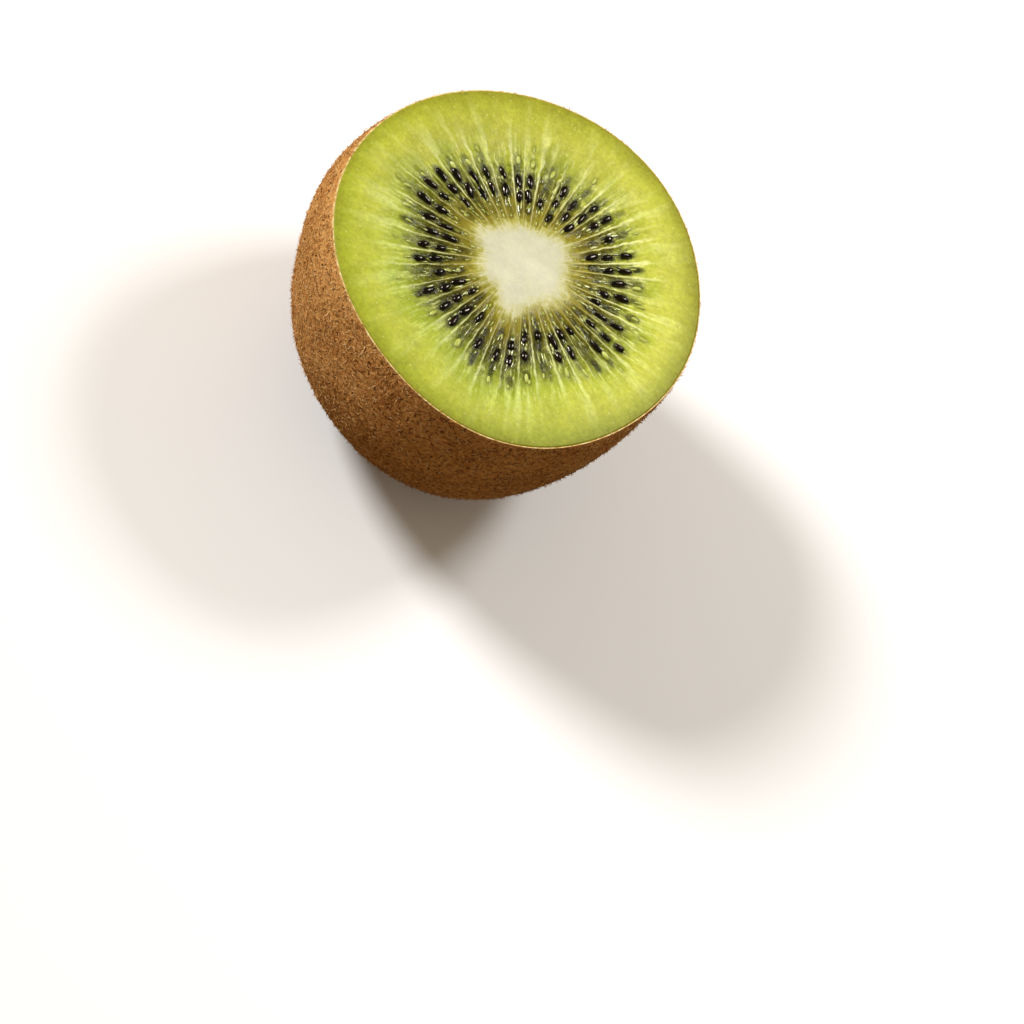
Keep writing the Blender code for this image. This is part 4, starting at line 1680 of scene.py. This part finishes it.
    kept_normal = add(
        tree,
        "GeometryNodeStoreNamedAttribute",
        {"Geometry": formed, "Name": "outward", "Value": normal},
        data_type="FLOAT_VECTOR",
        domain="POINT",
    )
    rough = add(tree, "GeometryNodeSetPosition", {"Geometry": kept_normal, "Offset": push})
    smooth = add(tree, "GeometryNodeSetShadeSmooth", {"Geometry": rough, "Shade Smooth": True})
    real = add(tree, "GeometryNodeRealizeInstances", [smooth])
    finished = add(tree, "GeometryNodeSetMaterial", {"Geometry": real, "Material": size["Finish"]})
    add(tree, "NodeGroupOutput", [finished])
    return tree


skin = grow("skin", bpy.data.meshes.new("skin_start"), build_skin_tree(), SKIN_SIZES)
skin.data.set_sharp_from_angle(angle=math.radians(50))

# %% [markdown]
# ## Finish of the fuzz
# The fuzz is dry plant hair, straw to rust brown. Each hair stores a number of its own, from which
# its finish takes a lighter or darker brown. One colour for all would look combed and flat.

# %% Finish of the fuzz
def make_hair_finish():
    """Dry plant hair: straw to rust brown, soft sheen."""
    material, t, shader = start_material("dry_plant_hair", "#B98A50")
    own = add(t, "ShaderNodeAttribute", attribute_name="hair_tone")
    colour = add(
        t,
        "ShaderNodeValToRGB",
        [own.outputs["Fac"]],
        stops=((0.0, "#8A4E1E"), (0.3, "#C4833F"), (0.7, "#E2AC62"), (1.0, "#F8D79C")),
    )
    t.links.new(colour.outputs["Color"], shader.inputs["Base Color"])
    set_sockets(shader, Roughness=0.6, IOR=1.5, Specular_IOR_Level=0.3)
    return material


hair_finish = make_hair_finish()

# %% [markdown]
# ## Fuzz
# Short stiff hairs lie matted over the skin, and a few stand up and show against the light. The
# tree scatters them over the outside of the skin, and each copies one of a few bent spikes.
# Hair curves could be thinner, but only a mesh can be handed on, so a hair has a few faces.

# %% Fuzz
HAIR_RINGS = 3
HAIR_SIDES = 3
HAIR_BENDS = (-0.28, 0.12, 0.35, 0.55)
HAIR_THICKNESS = 0.12  # share of its length
LOWEST_HAIRS = 0.07  # share of the way up the skin; below it, hairs would reach through the floor


def spike_mesh(name, bend, thickness):
    """A spike of length 1 along Z that bends towards X, closed at its root."""
    points = []
    for ring in range(HAIR_RINGS):
        along = ring / HAIR_RINGS
        half = thickness / 2 * (1.0 - 0.55 * along)
        for side in range(HAIR_SIDES):
            turn = 2 * math.pi * side / HAIR_SIDES
            points.append((bend * along**2 + half * math.cos(turn), half * math.sin(turn), along))
    points.append((bend, 0.0, 1.0 - 0.35 * abs(bend)))
    rings = [[ring * HAIR_SIDES + side for side in range(HAIR_SIDES)] for ring in range(HAIR_RINGS)]
    faces = [tuple(reversed(rings[0]))]
    for lower, upper in zip(rings, rings[1:]):
        faces += ring_faces(lower, upper)
    faces += [(rings[-1][i], rings[-1][(i + 1) % HAIR_SIDES], len(points) - 1) for i in range(HAIR_SIDES)]
    mesh = bpy.data.meshes.new(name)
    mesh.from_pydata(points, [], faces)
    return mesh


def build_fuzz_tree(name, sizes):
    tree, size = start_tree(name, sizes)
    outside = add(tree, "GeometryNodeInputNamedAttribute", {"Name": "outside"}, data_type="FLOAT")
    above_flat_spot = add(
        tree,
        "FunctionNodeCompare",
        {"A": outside, "B": LOWEST_HAIRS},
        data_type="FLOAT",
        operation="GREATER_THAN",
    )
    below_rim = add(
        tree,
        "FunctionNodeCompare",
        {"A": outside, "B": size["Highest row"]},
        data_type="FLOAT",
        operation="LESS_THAN",
    )
    chosen = add(tree, "FunctionNodeBooleanMath", [above_flat_spot, below_rim], operation="AND")
    spread = add(
        tree,
        "GeometryNodeDistributePointsOnFaces",
        {
            "Mesh": size["Geometry"],
            "Selection": chosen,
            "Density": size["Hairs on a square metre"],
            "Seed": size["Draw"],
        },
        distribute_method="RANDOM",
    )
    tone = add(tree, "FunctionNodeRandomValue", {"Seed": size["Draw"]}, data_type="FLOAT")
    toned = add(
        tree,
        "GeometryNodeStoreNamedAttribute",
        {"Geometry": spread, "Name": "hair_tone", "Value": tone},
        data_type="FLOAT",
        domain="POINT",
    )
    next_draw = add(tree, "ShaderNodeMath", [size["Draw"], 1.0], operation="ADD")
    round_about = add(
        tree,
        "FunctionNodeRandomValue",
        {"Max": 2 * math.pi, "Seed": next_draw},
        data_type="FLOAT",
    )
    third_draw = add(tree, "ShaderNodeMath", [size["Draw"], 2.0], operation="ADD")
    lean = add(
        tree,
        "FunctionNodeRandomValue",
        {"Min": size["Least lean"], "Max": size["Most lean"], "Seed": third_draw},
        data_type="FLOAT",
    )
    spin_axes = add(tree, "ShaderNodeCombineXYZ", {"Z": round_about})
    spin = add(tree, "FunctionNodeEulerToRotation", [spin_axes])
    tilt_axes = add(tree, "ShaderNodeCombineXYZ", {"Y": lean})
    tilt = add(tree, "FunctionNodeEulerToRotation", [tilt_axes])
    spun = add(
        tree,
        "FunctionNodeRotateRotation",
        {"Rotation": spread.outputs["Rotation"], "Rotate By": spin},
        rotation_space="LOCAL",
    )
    leant = add(
        tree,
        "FunctionNodeRotateRotation",
        {"Rotation": spun, "Rotate By": tilt},
        rotation_space="LOCAL",
    )
    fourth_draw = add(tree, "ShaderNodeMath", [size["Draw"], 3.0], operation="ADD")
    length = add(
        tree,
        "FunctionNodeRandomValue",
        {"Min": size["Shortest"], "Max": size["Longest"], "Seed": fourth_draw},
        data_type="FLOAT",
    )
    forms = add(
        tree,
        "GeometryNodeCollectionInfo",
        {"Collection": size["Forms"], "Separate Children": True, "Reset Children": True},
    )
    copies = add(
        tree,
        "GeometryNodeInstanceOnPoints",
        {"Points": toned, "Instance": forms, "Pick Instance": True, "Rotation": leant, "Scale": length},
    )
    real = add(tree, "GeometryNodeRealizeInstances", [copies])
    smooth = add(tree, "GeometryNodeSetShadeSmooth", {"Geometry": real, "Shade Smooth": True})
    finished = add(tree, "GeometryNodeSetMaterial", {"Geometry": smooth, "Material": size["Finish"]})
    add(tree, "NodeGroupOutput", [finished])
    return tree


def spike_collection(name, bends, thickness):
    forms = bpy.data.collections.new(name)
    bpy.context.scene.collection.children.link(forms)
    for i, bend in enumerate(bends):
        spike = spike_mesh(f"{name}_{i}", bend, thickness)
        forms.objects.link(bpy.data.objects.new(spike.name, spike))
    return forms


def remove_collection(forms):
    for form in list(forms.objects):
        bpy.data.objects.remove(form)
    bpy.data.collections.remove(forms)


# Hairs on a square millimetre, shortest, longest, least and most lean, highest row, draw
FUZZ_KINDS = {
    "matted_fuzz_a": (2.4, 0.55, 1.0, 74.0, 88.0, 0.995, 3),
    "matted_fuzz_b": (2.4, 0.45, 0.8, 68.0, 86.0, 0.995, 13),
    "loose_fuzz": (0.6, 0.3, 0.55, 35.0, 72.0, 0.985, 29),
}
fuzz = []
hair_forms = spike_collection("hair", HAIR_BENDS, HAIR_THICKNESS)
for kind, (density, shortest, longest, least, most, highest, draw) in FUZZ_KINDS.items():
    fuzz_sizes = {
        "Hairs on a square metre": density / MM**2,
        "Shortest": shortest * MM,
        "Longest": longest * MM,
        "Least lean": math.radians(least),
        "Most lean": math.radians(most),
        "Highest row": highest,
        "Draw": draw,
        "Forms": hair_forms,
        "Finish": hair_finish,
    }
    fuzz.append(grow(kind, skin.data.copy(), build_fuzz_tree(kind, fuzz_sizes), fuzz_sizes))
remove_collection(hair_forms)

# %% [markdown]
# ## Pieces on the frame
# Every piece belongs to the one body of the fruit. Together they stand for the imported solid, which
# isn't shown, and each is listed beside one of the record's slots.

# %% Pieces on the frame
SLOTS = {
    cut_flesh: "green_flesh",
    seeds: "black_seed",
    ovules: "pale_core",
    juice: "green_flesh",
    skin: "fuzzy_skin",
}
SLOTS.update({piece: "skin_hair" for piece in fuzz})
for piece, slot in SLOTS.items():
    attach(piece, "root")
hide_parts("kiwi_half")
print("pieces:", sorted(piece.name for piece in SLOTS))

# %% [markdown]
# ## Floor, light and camera
# The fruit stands on a pale floor in soft studio light. The main light comes from the fruit's left
# and from high up, and a small one opposite the camera gives the wet seeds their glints. The camera
# looks down on the cut with a long lens, and it is rolled, as the half leans in the photo.

# %% Floor, light and camera
CAMERA_LENS = 150.0
CAMERA_ELEVATION = 52.712
CAMERA_ROLL = 44.311
CAMERA_DISTANCE = 527.28
CAMERA_AIM = (20.467, -18.187, 18.301)
FLOOR_CORNERS = 96
FLOOR_REACH = 4.0  # metres
LAMP_DISTANCE = 0.4  # metres
WORLD_LIGHT = 0.34
WORLD_IN_GLOSS = 0.1


def make_floor():
    """A round sheet of paper, which throws a warm brown light up at the skin."""
    mesh = bpy.data.meshes.new("floor")
    turns = [2 * math.pi * i / FLOOR_CORNERS for i in range(FLOOR_CORNERS)]
    corners = [(FLOOR_REACH * math.cos(turn), FLOOR_REACH * math.sin(turn), 0.0) for turn in turns]
    mesh.from_pydata(corners, [], [tuple(range(FLOOR_CORNERS))])
    floor = bpy.data.objects.new("floor", mesh)
    bpy.context.scene.collection.objects.link(floor)
    material, t, shader = start_material("matt_white_paper", "#F5F5F3")
    shader.inputs["Base Color"].default_value = linear_colour("#F8F8F7")
    set_sockets(shader, Roughness=0.9, Specular_IOR_Level=0.1)
    seen = add(t, "ShaderNodeLightPath").outputs["Is Camera Ray"]
    dim = add(t, "ShaderNodeBsdfDiffuse", {"Color": linear_colour("#66502F")})
    both = add(t, "ShaderNodeMixShader", [seen, dim, shader])
    t.links.new(both.outputs["Shader"], t.nodes["Material Output"].inputs["Surface"])
    mesh.materials.append(material)


def make_camera():
    elevation, roll = math.radians(CAMERA_ELEVATION), math.radians(CAMERA_ROLL)
    back = Vector((0.0, -math.cos(elevation), math.sin(elevation)))
    level, upright = Vector((1.0, 0.0, 0.0)), Vector((0.0, math.sin(elevation), math.cos(elevation)))
    right = level * math.cos(roll) + upright * math.sin(roll)
    up = upright * math.cos(roll) - level * math.sin(roll)
    pose = Matrix((right, up, back)).transposed().to_4x4()
    pose.translation = (Vector(CAMERA_AIM) + back * CAMERA_DISTANCE) * MM
    camera = bpy.data.objects.new("camera", bpy.data.cameras.new("camera"))
    camera.data.lens = CAMERA_LENS
    camera.data.clip_start = 0.01
    camera.matrix_world = pose
    bpy.context.scene.collection.objects.link(camera)
    bpy.context.scene.camera = camera


def make_lamp(name, kind, towards, power, **sizes):
    """A lamp that shines at the fruit from a direction; the distance matters only to area lamps."""
    light = bpy.data.lights.new(name, kind)
    light.energy = power
    for size, value in sizes.items():
        setattr(light, size, value)
    lamp = bpy.data.objects.new(name, light)
    direction = Vector(towards).normalized()
    lamp.location = Vector((0.0, 0.0, HEIGHT * MM)) + direction * LAMP_DISTANCE
    lamp.rotation_euler = direction.to_track_quat("Z", "Y").to_euler()
    bpy.context.scene.collection.objects.link(lamp)


def make_world():
    """White all round for the camera, dimmer where it lights the fruit, dimmer still in its gloss."""
    world = bpy.data.worlds.new("studio")
    world.use_nodes = True
    t = world.node_tree
    path = add(t, "ShaderNodeLightPath")
    seen, glossy = path.outputs["Is Camera Ray"], path.outputs["Is Glossy Ray"]
    lighting = add(
        t,
        "ShaderNodeMapRange",
        {"Value": glossy, "To Min": WORLD_LIGHT, "To Max": WORLD_IN_GLOSS},
    )
    strength = add(t, "ShaderNodeMapRange", {"Value": seen, "To Min": lighting, "To Max": 1.0})
    t.links.new(first_output(strength), t.nodes["Background"].inputs["Strength"])
    tint = add(
        t,
        "ShaderNodeMix",
        {"Factor": seen, "A": linear_colour("#FFECD2"), "B": linear_colour("#FFFFFF")},
        data_type="RGBA",
    )
    t.links.new(first_output(tint), t.nodes["Background"].inputs["Color"])
    bpy.context.scene.world = world


make_floor()
make_camera()
make_world()
make_lamp("key", "SUN", (-0.88, -0.1, 0.6), 3.3, angle=math.radians(16))
make_lamp("glint", "AREA", (0.2, 0.6, 0.8), 0.82, size=0.1)
bpy.context.scene.view_settings.view_transform = "Standard"
print("camera:", [round(v / MM, 1) for v in bpy.context.scene.camera.location])
